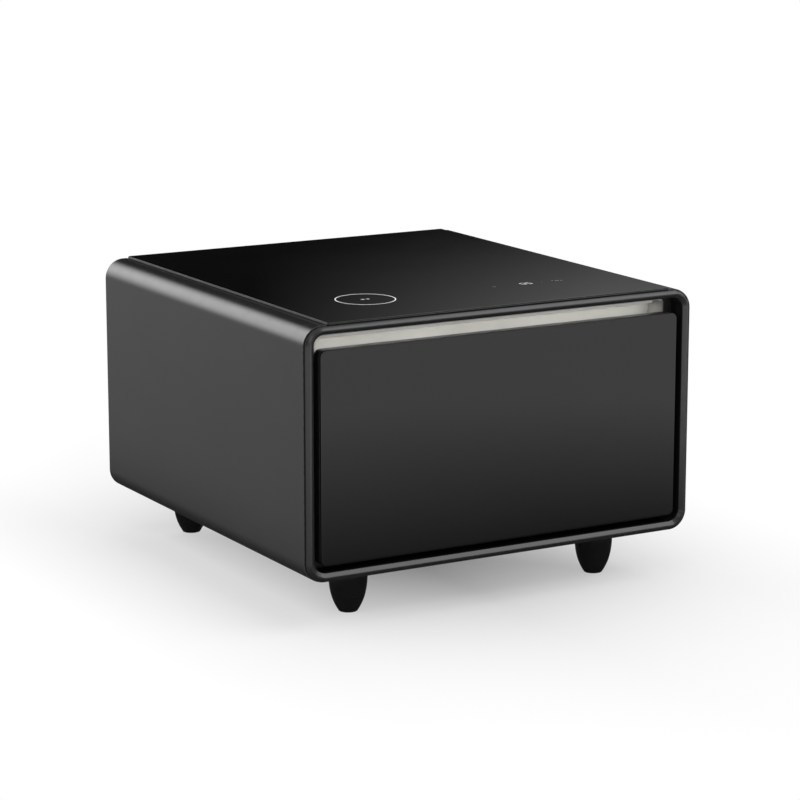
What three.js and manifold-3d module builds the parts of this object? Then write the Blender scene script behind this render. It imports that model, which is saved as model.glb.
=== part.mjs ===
import * as THREE from "three";
import { mergeVertices } from "three/addons/utils/BufferGeometryUtils.js";
import Module from "manifold-3d";

const wasm = await Module();
wasm.setup();

// Low side table with a refrigerated drawer. Millimetres, +Z up, the drawer opens towards -Y.
// The origin is on the floor under the middle of the cabinet.

// Cabinet
const cabinetWidth = 600;
const cabinetDepth = 618;
const shellHeight = 339;
const shellCornerRadius = 27.7;
const wrapWall = 1.5;
const seatGap = 0.3; // clearance left where two pieces meet
const overrun = 5; // how far a cutter runs past what it cuts
const cornerSteps = 4;
const fineCornerSteps = 8; // for the round corners that show
const quarterTurn = Math.PI / 2;

// Feet and the studs that hold them
const footHeight = 67;
const footTopRadius = 26.5;
const footTipRadius = 10;
const footTipEdge = 1.6;
const footFullness = 2.8; // how quickly the bullet shape fills out above its tip
const footSteps = 6;
const footStepGathering = 1.6; // above 1, the steps lie closer near the tip
const footSides = 16;
const footPlaceShare = 0.6533; // of the cabinet's half width, as the other place shares are
const frontFootSetback = 80;
const rearFootInset = 58;
const studRadius = 4;
const studReach = 24;
const studSides = 8;
const studFlangeRadius = 18;
const studFlangeThickness = 3;
const studNutRadius = 7;
const studNutHeight = 6;

// Glass top
const glassSideInset = 35;
const glassThickness = 4;
const glassProud = 2.8;
const glassSideGap = 0.5;
const glassFrontGap = 0.8;
const glassBackInset = 1;
const glassCornerRadius = 3;
const glassEdge = 0.7;

// Front bezel
const bezelWidth = 13.3;
const bezelTopWidth = 11;
const bezelInset = 1.5;
const bezelRise = 4.4;
const bezelRidgeSoftness = 0.3; // 0 is a knife ridge
const bezelLip = 0.6;
const seamWidth = 3;
const bezelInnerRadius = 16;
const beadSteps = 6;
const ridgeGathering = 1.5; // above 1, the bead's steps lie closer at its ridge
const collarWall = 2;
const collarDepth = 31;
const spigotLength = 9;
const faceThickness = 2.5;

// Lit finger recess above the drawer
const coveEndInset = 29;
const coveHeight = 33;
const coveTopDrop = 18;
const coveDepth = 36;
const coveWall = 2;
const coveRadius = 5;
const coveBackRadius = 10;
const coveBackSteps = 4;
const stripBoardWidth = 8;
const stripBoardThickness = 1.2;
const stripBoardSetback = 14;
const stripBoardEndGap = 9;
const diffuserWidth = 15;
const diffuserHeight = 6;
const diffuserRadius = 4;

// Cold compartment
const linerSideInset = 65;
const linerFloor = 45;
const linerRoof = 24;
const linerWall = 2;
const linerRadius = 16;
const linerFlange = 9;
const linerFlangeThickness = 1.6;
const rearFoam = 40;
const evaporatorSideRoom = 45;
const evaporatorEndRoom = 33.5;
const evaporatorThickness = 2.4;
const evaporatorRadius = 10;
const evaporatorEdge = 0.5;
const evaporatorTubeRadius = 3;
const evaporatorRuns = 5;
const evaporatorMargin = 22;
const tubeSides = 6;
const bendSteps = 3;
const bendRadiusShare = 0.45; // of the pitch between two runs

// Drawer front
const doorSetback = 3.5;
const doorSideGap = 10;
const doorBottomGap = 8.4;
const fingerGap = 21.6;
const doorRadius = 8;
const doorEdge = 0.9;
const doorGlassThickness = 4;
const doorFrameDepth = 15;
const doorFrameWall = 2.8;
const gasketMargin = 4;
const gasketWidth = 13;
const gasketRadius = 20;
const gasketLipShare = 0.35;
const gasketWaistShare = 0.5;
const plugClearance = 6;
const plugDepth = 7;
const plugEdge = 2;
const openingLip = 8;

// Drawer bin
const binFloorClearance = 6;
const binHeadroom = 43;
const binWall = 2.5;
const binRadius = 14;
const binRim = 5;
const binRimThickness = 3;
const dividerThickness = 2.4;
const dividerDrop = 33;
const dividerPlaceShare = 0.42;
const dividerWindows = 5;
const dividerBar = 12;

// Telescopic slides
const slideEndRoom = 10.5;
const slideHeight = 45;
const slideThickness = 12.7;
const slideWall = 1.2;
const slideLip = 1.6;
const slideRunningGap = 0.4;
const slideLevel = 110;
const slideSetback = 6;

// Machine compartment
const machineDepth = 137;
const partitionThickness = 1.2;
const backPanelInset = 6;
const backPanelThickness = 2;
const basePlateThickness = 2;
const basePlateMargin = 3;
const mountPinRadius = 3;
const mountPinHeight = 21;
const mountSpanWidth = 120;
const mountSpanDepth = 84;
const compressorPlaceShare = -0.3;
const compressorRadius = 55;
const compressorHeight = 128;
const compressorSeam = 2.5;
const compressorSeamHeight = 5;
const compressorSides = 20;
const domeSteps = 4;
const domeShare = 0.32;
const bracketThickness = 3;
const bracketEdge = 0.5;
const bracketMargin = 14;
const bracketRadius = 16;
const grommetRadius = 10;
const grommetFoot = 12;
const grommetCollar = 3;
const grommetWaist = 5.5;
const grommetCapRadius = 8.5;
const terminalWidth = 46;
const terminalHeight = 25;
const terminalDepth = 22;
const terminalRadius = 6;
const stubRadius = 4;
const stubLength = 10;

// Fan
const fanSize = 120;
const fanDepth = 25;
const fanBoreRadius = 56;
const fanPlaceShare = 0.107;
const fanCornerRadius = 8;
const fanHubRadius = 20;
const fanHubDepth = 17;
const fanMotorDepth = 5;
const fanStrutWidth = 6;
const fanStruts = 4;
const fanShaftRadius = 2.5;
const fanShaftLength = 11;
const fanTipGap = 2;
const fanBlades = 7;
const fanBladeThickness = 1.8;
const fanBladeChord = 22;
const fanBladeRootTurn = 0.85; // radians off the fan's plane
const fanBladeTipTurn = 0.5;
const fanBladeSteps = 3;
const fanBladeSweep = 0.3; // radians from root to tip
const fanSides = 24;

// Condenser
const condenserPlaceShare = 0.26;
const condenserRows = 2;
const condenserRowPitch = 24;
const condenserRuns = 6;
const condenserPitch = 19;
const condenserRise = 22;
const condenserSpan = 76;
const condenserTubeRadius = 4;
const condenserLead = 26;
const bracketPlateThickness = 1.2;
const bracketPlateMargin = 12;
const bracketPlateInset = 9;
const drierRadius = 10;
const drierLength = 84;
const drierNeckRadius = 4;
const drierNeck = 9;

// Electrics
const supplyWidth = 112;
const supplyHeight = 74;
const supplyDepth = 42;
const supplySideInset = 20;
const supplyLevel = 190;
const caseRadius = 5;
const caseEdge = 1.5;
const controllerWidth = 96;
const controllerHeight = 120;
const controllerDepth = 34;
const controllerLevel = 186;
const inletWidth = 27;
const inletHeight = 20;
const inletFlange = 4.5;
const inletFlangeThickness = 2;
const inletBodyDepth = 22;
const inletSocketDepth = 16;
const inletPinRecess = 4.6;
const inletWall = 2.2;
const inletRadius = 3;
const inletPlaceShare = 0.7733;
const inletPinShares = [[-0.25, -0.08], [0, 0.125], [0.25, -0.08]]; // of the socket's width and height
const inletLevel = 70;
const louvreWidth = 92;
const louvreSlot = 6;
const louvrePitch = 15;
const louvreRows = 9;
const louvreLevel = 40;
const louvrePlaceShares = [-0.5, 0.37];
const louvreReach = 3.6;
const louvreWall = 1.2;

// Under the glass
const chargerPlaceShare = -0.4677;
const chargerSetback = 131.5;
const chargerRadius = 43;
const chargerHeight = 9;
const chargerWall = 2;
const chargerFloor = 4;
const coilOuterRadius = 26;
const coilInnerRadius = 11;
const coilTurns = 3;
const coilThickness = 3;
const chargerSides = 18;
const touchPlaceShare = 0.3467;
const touchSetback = 134.5;
const touchWidth = 128;
const touchDepth = 34;
const touchThickness = 1.6;
const touchRadius = 2;
const touchKeys = 5;
const touchKeyRadius = 6;
const touchKeyHeight = 3;

// Levels and places worked out from the sizes above
const shellBottom = footHeight;
const shellTop = shellBottom + shellHeight;
const glassTopLevel = shellTop + glassProud;
const glassUnderside = glassTopLevel - glassThickness;
const deckLevel = glassUnderside - seatGap;
const deckUnderside = deckLevel - wrapWall;
const fromFront = (distance) => -cabinetDepth / 2 + distance;
const acrossBy = (placeShare) => (placeShare * cabinetWidth) / 2;
const glassWidth = cabinetWidth - 2 * glassSideInset;
const coveWidth = cabinetWidth - 2 * coveEndInset;
const linerWidth = cabinetWidth - 2 * linerSideInset;
const bezelBack = bezelRise + bezelLip;
const wrapFront = bezelBack + seamWidth;
const innerHalfWidth = cabinetWidth / 2 - wrapWall - seatGap;
const innerBottom = shellBottom + wrapWall + seatGap;
const innerTop = deckUnderside - seatGap;
const innerRadius = shellCornerRadius - wrapWall;
const faceBack = collarDepth + faceThickness;
const coveTop = shellTop - coveTopDrop;
const coveBottom = coveTop - coveHeight;
const linerLow = shellBottom + linerFloor;
const linerHigh = coveBottom - coveWall - linerRoof;
const linerFront = faceBack + seatGap;
const backPanelBack = cabinetDepth - backPanelInset;
const backPanelFront = backPanelBack - backPanelThickness;
const partitionBack = backPanelFront - machineDepth;
const partitionFront = partitionBack - partitionThickness;
const foamBack = partitionFront - seatGap;
const linerBack = foamBack - rearFoam - linerWall;
const machineMiddle = (partitionBack + backPanelFront) / 2;
const basePlateTop = innerBottom + basePlateThickness;
const doorHalfWidth = cabinetWidth / 2 - bezelWidth - doorSideGap;
const doorLow = shellBottom + bezelWidth + doorBottomGap;
const doorHigh = shellTop - bezelTopWidth - fingerGap;
const doorGlassBack = doorSetback + doorGlassThickness;
const doorFrameFront = doorGlassBack + seatGap;
const doorFrameBack = doorFrameFront + doorFrameDepth;
const gasketFront = doorFrameBack + seatGap;
const gasketBack = collarDepth - seatGap;
const plugBack = collarDepth + plugDepth;
const slideFront = plugBack + slideSetback;
const slideLength = linerBack - slideEndRoom - slideFront;
const slideCentre = shellBottom + slideLevel;
const binFront = plugBack + seatGap;
const binBack = slideFront + slideLength;
const binLow = linerLow + binFloorClearance;
const binHigh = linerHigh - binHeadroom;
const binHalfWidth = linerWidth / 2 - seatGap - slideThickness - seatGap;
const compressorPlace = acrossBy(compressorPlaceShare);
const condenserPlace = acrossBy(condenserPlaceShare);
const inletPlace = acrossBy(inletPlaceShare);
const chargerPlace = acrossBy(chargerPlaceShare);
const chargerY = fromFront(chargerSetback);
const touchPlace = acrossBy(touchPlaceShare);
const touchY = fromFront(touchSetback);
const bracketLevel = basePlateTop + seatGap + grommetFoot + seatGap;
const compressorFloor = bracketLevel + bracketThickness + seatGap;
const suctionLevel = compressorFloor + compressorHeight * domeShare;
const dischargeLevel = compressorFloor + compressorHeight + stubLength;
const condenserLow = basePlateTop + condenserRise;
const condenserTop = condenserLow + (condenserRuns - 1) * condenserPitch;
const condenserBackEnd = fromFront(machineMiddle + condenserSpan / 2);
const condenserFrontEnd = fromFront(machineMiddle - condenserSpan / 2);

const footPlaces = [
  ["front_left", -1, fromFront(frontFootSetback)],
  ["front_right", 1, fromFront(frontFootSetback)],
  ["rear_left", -1, fromFront(cabinetDepth - rearFootInset)],
  ["rear_right", 1, fromFront(cabinetDepth - rearFootInset)],
].map(([corner, side, y]) => ({ corner, x: side * acrossBy(footPlaceShare), y }));

const finishes = {
  painted: new THREE.MeshStandardMaterial({ color: 0x3c3c3e, roughness: 0.42, metalness: 0.35 }),
  bezel: new THREE.MeshStandardMaterial({ color: 0x38383a, roughness: 0.36, metalness: 0.3 }),
  glass: new THREE.MeshStandardMaterial({ color: 0x050506, roughness: 0.05, metalness: 0 }),
  moulded: new THREE.MeshStandardMaterial({ color: 0x101011, roughness: 0.5, metalness: 0 }),
  cove: new THREE.MeshStandardMaterial({ color: 0xc2c2bb, roughness: 0.5, metalness: 0 }),
  diffuser: new THREE.MeshStandardMaterial({ color: 0xf2f1ea, roughness: 0.35, metalness: 0 }),
  board: new THREE.MeshStandardMaterial({ color: 0x14512f, roughness: 0.5, metalness: 0 }),
  foam: new THREE.MeshStandardMaterial({ color: 0xd8cfa0, roughness: 0.9, metalness: 0 }),
  liner: new THREE.MeshStandardMaterial({ color: 0xdedfdd, roughness: 0.4, metalness: 0 }),
  aluminium: new THREE.MeshStandardMaterial({ color: 0xb4b6b8, roughness: 0.35, metalness: 1 }),
  steel: new THREE.MeshStandardMaterial({ color: 0x9a9da0, roughness: 0.38, metalness: 1 }),
  copper: new THREE.MeshStandardMaterial({ color: 0xb06a3c, roughness: 0.35, metalness: 1 }),
  rubber: new THREE.MeshStandardMaterial({ color: 0x161616, roughness: 0.85, metalness: 0 }),
  compressor: new THREE.MeshStandardMaterial({ color: 0x0d0d0e, roughness: 0.35, metalness: 0.4 }),
};

const table = new THREE.Group();

function addPiece(name, geometry, finish) {
  const mesh = new THREE.Mesh(geometry, finish);
  mesh.name = name;
  table.add(mesh);
}

// Closed faces with merged corners, turned so that they point outwards
function closedBody(geometry) {
  const bare = geometry.clone();
  for (const attribute of Object.keys(bare.attributes)) {
    if (attribute !== "position") bare.deleteAttribute(attribute);
  }
  const merged = mergeVertices(bare);
  const place = merged.attributes.position;
  const faces = [];
  let volume = 0;
  const corner = [new THREE.Vector3(), new THREE.Vector3(), new THREE.Vector3()];
  for (let face = 0; face < merged.index.count; face += 3) {
    const ids = [0, 1, 2].map((step) => merged.index.getX(face + step));
    if (new Set(ids).size < ids.length) continue;
    ids.forEach((id, step) => corner[step].fromBufferAttribute(place, id));
    volume += corner[0].dot(corner[1].cross(corner[2]));
    faces.push(ids);
  }
  if (volume < 0) faces.forEach((ids) => ids.reverse());
  merged.setIndex(faces.flat());
  return merged;
}

function toSolid(geometry) {
  const body = closedBody(geometry);
  const vertProperties = new Float32Array(body.attributes.position.array);
  const triVerts = new Uint32Array(body.index.array);
  return new wasm.Manifold(new wasm.Mesh({ numProp: 3, vertProperties, triVerts }));
}

function fromSolid(solid) {
  const mesh = solid.getMesh();
  const geometry = new THREE.BufferGeometry();
  geometry.setAttribute("position", new THREE.BufferAttribute(new Float32Array(mesh.vertProperties), 3));
  geometry.setIndex(new THREE.BufferAttribute(new Uint32Array(mesh.triVerts), 1));
  return geometry;
}

// One piece made of a base, with more forms joined to it and then others cut away
function shaped(base, joined, cut) {
  let solid = toSolid(base);
  for (const form of joined) solid = solid.add(toSolid(form));
  for (const form of cut) solid = solid.subtract(toSolid(form));
  return fromSolid(solid);
}

// Points round a rectangle with round corners, the same number whatever its size
function roundedLoop({ halfWidth, low, high, radius, centre = 0, steps = cornerSteps }) {
  const points = [];
  const corners = [[1, low + radius], [1, high - radius], [-1, high - radius], [-1, low + radius]];
  corners.forEach(([side, level], quarter) => {
    for (let step = 0; step <= steps; step += 1) {
      const angle = (quarter - 1 + step / steps) * quarterTurn;
      const across = centre + side * (halfWidth - radius) + radius * Math.cos(angle);
      points.push([across, level + radius * Math.sin(angle)]);
    }
  });
  return points;
}

// A loop that stands up, facing the front, at a distance behind the front ridge
const standing = (loop, distance) =>
  roundedLoop(loop).map(([across, level]) => new THREE.Vector3(across, fromFront(distance), level));

// A loop that lies flat at a level above the floor
const lying = (loop, level) =>
  roundedLoop(loop).map(([across, depth]) => new THREE.Vector3(across, depth, level));

const insetLoop = (loop, inset, radiusInset = inset) => ({
  ...loop,
  halfWidth: loop.halfWidth - inset,
  low: loop.low + inset,
  high: loop.high - inset,
  radius: loop.radius - radiusInset,
});

// A skin through rings of points, capped at both ends or joined from the last ring to the first
function skin(rings, joined = false) {
  const count = rings[0].length;
  const faces = [];
  const spans = joined ? rings.length : rings.length - 1;
  for (let ring = 0; ring < spans; ring += 1) {
    const start = ring * count;
    const next = ((ring + 1) % rings.length) * count;
    for (let step = 0; step < count; step += 1) {
      const along = (step + 1) % count;
      faces.push(start + step, start + along, next + along);
      faces.push(start + step, next + along, next + step);
    }
  }
  if (!joined) {
    const last = (rings.length - 1) * count;
    for (let step = 1; step < count - 1; step += 1) {
      faces.push(0, step + 1, step);
      faces.push(last, last + step, last + step + 1);
    }
  }
  const geometry = new THREE.BufferGeometry();
  const values = rings.flat().flatMap((point) => point.toArray());
  geometry.setAttribute("position", new THREE.Float32BufferAttribute(values, 3));
  geometry.setIndex(faces);
  return closedBody(geometry);
}

// A plate whose rim has a small edge round it, standing or lying
function softPlate(hold, loop, from, to, edge) {
  return skin([
    hold(insetLoop(loop, edge), from),
    hold(loop, from + edge),
    hold(loop, to - edge),
    hold(insetLoop(loop, edge), to),
  ]);
}

function shapeOf(points) {
  return new THREE.Shape(points.map(([across, up]) => new THREE.Vector2(across, up)));
}

const extruded = (shape, depth, curveSegments) =>
  new THREE.ExtrudeGeometry(shape, { depth, bevelEnabled: false, curveSegments });

// A shape drawn on width and height, carried along the depth between two distances from the front
function alongDepth(shape, from, to) {
  const geometry = extruded(shape, to - from, fineCornerSteps);
  geometry.rotateX(quarterTurn);
  geometry.translate(0, fromFront(to), 0);
  return closedBody(geometry);
}

// A shape drawn on depth and height, carried along the width between two places
function alongWidth(shape, from, to) {
  const geometry = extruded(shape, to - from, cornerSteps);
  geometry.rotateX(quarterTurn);
  geometry.rotateZ(quarterTurn);
  geometry.translate(from, 0, 0);
  return closedBody(geometry);
}

function boxBetween([x0, y0, z0], [x1, y1, z1]) {
  const box = new THREE.BoxGeometry(x1 - x0, y1 - y0, z1 - z0);
  box.translate((x0 + x1) / 2, (y0 + y1) / 2, (z0 + z1) / 2);
  return box;
}

function roundBar(radius, from, to, x, y, sides) {
  const bar = new THREE.CylinderGeometry(radius, radius, to - from, sides);
  bar.rotateX(quarterTurn);
  bar.translate(x, y, (from + to) / 2);
  return bar;
}

// A profile of radius and height turned about an upright axis
function turned(profile, sides, x, y, z) {
  const points = profile.map(([radius, height]) => new THREE.Vector2(radius, height));
  const lathe = new THREE.LatheGeometry(points, sides);
  lathe.rotateX(quarterTurn);
  lathe.translate(x, y, z);
  return closedBody(lathe);
}

// A pipe's route whose steps fall on its own points, so that bends keep their round
class PipeRoute extends THREE.Curve {
  constructor(points) {
    super();
    this.points = points;
  }

  getPoint(share) {
    const place = share * (this.points.length - 1);
    const index = Math.min(Math.floor(place), this.points.length - 2);
    return this.points[index].clone().lerp(this.points[index + 1], place - index);
  }

  getPointAt(share) {
    return this.getPoint(share);
  }

  getTangentAt(share) {
    const index = Math.round(share * (this.points.length - 1));
    const before = this.points[Math.max(index - 1, 0)];
    const after = this.points[Math.min(index + 1, this.points.length - 1)];
    return after.clone().sub(before).normalize();
  }
}

function pipe(points, radius) {
  const section = new THREE.Shape();
  for (let side = 0; side < tubeSides; side += 1) {
    const angle = (side / tubeSides) * 4 * quarterTurn;
    const corner = [radius * Math.cos(angle), radius * Math.sin(angle)];
    if (side === 0) section.moveTo(...corner);
    else section.lineTo(...corner);
  }
  const route = new PipeRoute(points);
  return closedBody(new THREE.ExtrudeGeometry(section, { steps: points.length - 1, extrudePath: route }));
}

// The route with each inner corner replaced by a round bend
function withBends(corners, bendRadius) {
  const points = [corners[0].clone()];
  for (let index = 1; index < corners.length - 1; index += 1) {
    const corner = corners[index];
    const back = corners[index - 1].clone().sub(corner).normalize();
    const ahead = corners[index + 1].clone().sub(corner).normalize();
    const halfAngle = back.angleTo(ahead) / 2;
    const reach = bendRadius / Math.tan(halfAngle);
    const centre = back.clone().add(ahead).setLength(bendRadius / Math.sin(halfAngle)).add(corner);
    const start = back.clone().multiplyScalar(reach).add(corner).sub(centre);
    const end = ahead.clone().multiplyScalar(reach).add(corner).sub(centre);
    const swing = start.angleTo(end);
    for (let step = 0; step <= bendSteps; step += 1) {
      const share = step / bendSteps;
      const ease = Math.sin((1 - share) * swing) / Math.sin(swing);
      const lead = Math.sin(share * swing) / Math.sin(swing);
      points.push(start.clone().multiplyScalar(ease).addScaledVector(end, lead).add(centre));
    }
  }
  points.push(corners[corners.length - 1].clone());
  return points;
}

// The painted sheet goes right round the cabinet, with a shallow seat for the glass in its deck.
function wrapOutline(inset, Kind) {
  const half = cabinetWidth / 2 - inset;
  const radius = shellCornerRadius - inset;
  const low = shellBottom + inset + radius;
  const high = shellTop - inset;
  const seatHalf = glassWidth / 2 + glassSideGap + inset;
  const outline = new Kind();
  outline.moveTo(radius - half, low - radius);
  outline.absarc(half - radius, low, radius, -quarterTurn, 0, false);
  outline.absarc(half - radius, high - radius, radius, 0, quarterTurn, false);
  outline.lineTo(seatHalf, high);
  outline.lineTo(seatHalf, deckLevel - inset);
  outline.lineTo(-seatHalf, deckLevel - inset);
  outline.lineTo(-seatHalf, high);
  outline.absarc(radius - half, high - radius, radius, quarterTurn, 2 * quarterTurn, false);
  outline.absarc(radius - half, low, radius, 2 * quarterTurn, 3 * quarterTurn, false);
  return outline;
}

const touchLoop = (grow) => ({
  halfWidth: touchWidth / 2 + grow,
  low: touchY - touchDepth / 2 - grow,
  high: touchY + touchDepth / 2 + grow,
  radius: touchRadius + grow,
  centre: touchPlace,
});

function makeOuterWrap() {
  const sheet = wrapOutline(0, THREE.Shape);
  sheet.holes.push(wrapOutline(wrapWall, THREE.Path));
  const tube = alongDepth(sheet, wrapFront, cabinetDepth);
  const studHoles = footPlaces.map(({ x, y }) =>
    roundBar(studRadius + seatGap, shellBottom - overrun, innerBottom + overrun, x, y, studSides));
  const chargerHole = roundBar(chargerRadius + seatGap, deckUnderside - overrun, deckLevel + overrun,
    chargerPlace, chargerY, chargerSides);
  const touchHole = skin([
    lying(touchLoop(seatGap), deckUnderside - overrun),
    lying(touchLoop(seatGap), deckLevel + overrun),
  ]);
  addPiece("outer_wrap", shaped(tube, [], [...studHoles, chargerHole, touchHole]), finishes.painted);
}

function makeGlassTop() {
  const plate = {
    halfWidth: glassWidth / 2,
    low: fromFront(bezelBack + glassFrontGap),
    high: fromFront(cabinetDepth - glassBackInset),
    radius: glassCornerRadius,
  };
  addPiece("glass_top", softPlate(lying, plate, glassUnderside, glassTopLevel, glassEdge), finishes.glass);
}

// The bezel's bead has two flat slopes that meet in a soft ridge; a collar runs back to the face frame.
const bezelInner = {
  halfWidth: cabinetWidth / 2 - bezelWidth,
  low: shellBottom + bezelWidth,
  high: shellTop - bezelTopWidth,
  radius: bezelInnerRadius,
  steps: fineCornerSteps,
};
const bezelOuter = {
  halfWidth: cabinetWidth / 2 - bezelInset,
  low: shellBottom + bezelInset,
  high: shellTop - bezelInset,
  radius: shellCornerRadius - bezelInset,
  steps: fineCornerSteps,
};
const innerLoop = { halfWidth: innerHalfWidth, low: innerBottom, high: innerTop, radius: innerRadius };

function mixLoops(inner, outer, share) {
  const mixed = {};
  for (const key of Object.keys(inner)) mixed[key] = inner[key] + (outer[key] - inner[key]) * share;
  return mixed;
}

function beadDepth(share) {
  const away = 2 * share - 1;
  const soft = (value) => Math.hypot(value, bezelRidgeSoftness) - bezelRidgeSoftness;
  return (bezelRise * soft(away)) / soft(1);
}

function makeFrontBezel() {
  const rings = [];
  for (let step = 0; step <= beadSteps; step += 1) {
    const away = (2 * step) / beadSteps - 1;
    const share = (1 + Math.sign(away) * Math.abs(away) ** ridgeGathering) / 2;
    rings.push(standing(mixLoops(bezelInner, bezelOuter, share), beadDepth(share)));
  }
  const collar = insetLoop(bezelInner, -collarWall);
  const spigotEnd = bezelBack + spigotLength;
  rings.push(standing(bezelOuter, bezelBack));
  const spigot = { ...innerLoop, steps: fineCornerSteps };
  rings.push(standing(spigot, bezelBack));
  rings.push(standing(spigot, spigotEnd));
  rings.push(standing(collar, spigotEnd));
  rings.push(standing(collar, collarDepth - seatGap));
  rings.push(standing(bezelInner, collarDepth - seatGap));
  addPiece("front_bezel", skin(rings, true), finishes.bezel);
}

const coveOuter = {
  halfWidth: coveWidth / 2 + coveWall,
  low: coveBottom - coveWall,
  high: coveTop + coveWall,
  radius: coveRadius + coveWall,
};
const coveInner = insetLoop(coveOuter, coveWall);
const linerOpening = { halfWidth: linerWidth / 2, low: linerLow, high: linerHigh, radius: linerRadius };

function makeFaceFrame() {
  const frame = shapeOf(roundedLoop(innerLoop));
  const coveWindow = insetLoop(coveOuter, -seatGap);
  frame.holes.push(new THREE.Path(shapeOf(roundedLoop(coveWindow)).getPoints()));
  frame.holes.push(new THREE.Path(shapeOf(roundedLoop(linerOpening)).getPoints()));
  addPiece("face_frame", alongDepth(frame, collarDepth, faceBack), finishes.moulded);
}

// The light cove is a shallow tub whose back turns up out of its floor in a round.
function makeLightCove() {
  const coveBack = collarDepth + coveDepth;
  const turn = (loop, back, radius) => {
    const rings = [];
    for (let step = 0; step <= coveBackSteps; step += 1) {
      const angle = (step / coveBackSteps) * quarterTurn;
      const drop = radius * (1 - Math.cos(angle));
      const ring = { ...loop, low: loop.low + drop };
      rings.push(standing(ring, back - radius + radius * Math.sin(angle)));
    }
    return rings;
  };
  const outerTurn = turn(coveOuter, coveBack, coveBackRadius + coveWall).reverse();
  const innerTurn = turn(coveInner, coveBack - coveWall, coveBackRadius);
  const rim = [standing(coveOuter, collarDepth), standing(coveInner, collarDepth)];
  addPiece("light_cove", skin([...outerTurn, ...rim, ...innerTurn]), finishes.cove);
}

// The lamp strip hangs under the recess's ceiling, with a cover that straddles it.
function makeStripLight() {
  const ceiling = coveTop - seatGap;
  const from = fromFront(collarDepth + stripBoardSetback);
  const half = coveWidth / 2 - stripBoardEndGap;
  const board = boxBetween(
    [-half, from, ceiling - stripBoardThickness],
    [half, from + stripBoardWidth, ceiling],
  );
  addPiece("led_strip", board, finishes.board);
  const side = (diffuserWidth - stripBoardWidth) / 2;
  const low = ceiling - diffuserHeight;
  const groove = ceiling - stripBoardThickness - seatGap;
  const cover = new THREE.Shape();
  cover.moveTo(from - side, ceiling);
  const back = from + stripBoardWidth + side;
  const round = low + diffuserRadius;
  cover.absarc(from - side + diffuserRadius, round, diffuserRadius, 2 * quarterTurn, 3 * quarterTurn, false);
  cover.absarc(back - diffuserRadius, round, diffuserRadius, -quarterTurn, 0, false);
  cover.lineTo(back, ceiling);
  cover.lineTo(from + stripBoardWidth + seatGap, ceiling);
  cover.lineTo(from + stripBoardWidth + seatGap, groove);
  cover.lineTo(from - seatGap, groove);
  cover.lineTo(from - seatGap, ceiling);
  addPiece("light_diffuser", alongWidth(cover, -half - seatGap, half + seatGap), finishes.diffuser);
}

// Foam fills the space between the wrap and the cold compartment.
function makeInsulation() {
  const block = alongDepth(shapeOf(roundedLoop(innerLoop)), faceBack + seatGap, foamBack);
  const linerRoom = insetLoop(linerOpening, -linerWall - seatGap);
  const flangeRoom = insetLoop(linerOpening, -linerFlange - seatGap);
  const coveRoom = insetLoop(coveOuter, -seatGap);
  const pocket = (loop, from, to) => skin([standing(loop, from), standing(loop, to)]);
  const cuts = [
    pocket(linerRoom, faceBack - overrun, linerBack + linerWall + seatGap),
    pocket(flangeRoom, faceBack - overrun, linerFront + linerFlangeThickness + seatGap),
    pocket(coveRoom, faceBack - overrun, collarDepth + coveDepth + seatGap),
    roundBar(chargerRadius + seatGap, deckLevel - chargerHeight - seatGap, innerTop + overrun,
      chargerPlace, chargerY, chargerSides),
    skin([
      lying(touchLoop(seatGap), deckLevel - touchThickness - touchKeyHeight - 2 * seatGap),
      lying(touchLoop(seatGap), innerTop + overrun),
    ]),
  ];
  for (const { x, y } of footPlaces.slice(0, 2)) {
    const flangeTop = innerBottom + studFlangeThickness + seatGap;
    cuts.push(roundBar(studFlangeRadius + seatGap, innerBottom - overrun, flangeTop, x, y, footSides));
    cuts.push(roundBar(studNutRadius + seatGap, innerBottom, flangeTop + studNutHeight, x, y, studSides));
  }
  addPiece("insulation", shaped(block, [], cuts), finishes.foam);
}

function makeInnerLiner() {
  const outer = insetLoop(linerOpening, -linerWall);
  const flange = insetLoop(linerOpening, -linerFlange);
  const flangeBack = linerFront + linerFlangeThickness;
  addPiece("inner_liner", skin([
    standing(outer, linerBack + linerWall),
    standing(outer, flangeBack),
    standing(flange, flangeBack),
    standing(flange, linerFront),
    standing(linerOpening, linerFront),
    standing(linerOpening, linerBack),
  ]), finishes.liner);
}

// The evaporator is a thin plate on the liner's back wall with one channel raised in it.
function makeEvaporator() {
  const plate = {
    halfWidth: linerWidth / 2 - evaporatorSideRoom,
    low: linerLow + evaporatorEndRoom,
    high: linerHigh - evaporatorEndRoom,
    radius: evaporatorRadius,
  };
  const back = linerBack - seatGap;
  const front = back - evaporatorThickness;
  const reach = plate.halfWidth - evaporatorMargin;
  const pitch = (plate.high - plate.low - 2 * evaporatorMargin) / (evaporatorRuns - 1);
  const corners = [];
  for (let run = 0; run < evaporatorRuns; run += 1) {
    const level = plate.low + evaporatorMargin + run * pitch;
    const side = run % 2 === 0 ? 1 : -1;
    corners.push(new THREE.Vector3(-side * reach, fromFront(front), level));
    corners.push(new THREE.Vector3(side * reach, fromFront(front), level));
  }
  const channel = pipe(withBends(corners, pitch * bendRadiusShare), evaporatorTubeRadius);
  const slab = softPlate(standing, plate, front, back, evaporatorEdge);
  const behind = boxBetween(
    [-plate.halfWidth, fromFront(back - evaporatorEdge), plate.low],
    [plate.halfWidth, fromFront(back + overrun), plate.high],
  );
  const raised = fromSolid(toSolid(channel).subtract(toSolid(behind)));
  addPiece("evaporator_plate", shaped(slab, [raised], []), finishes.aluminium);
}

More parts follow.
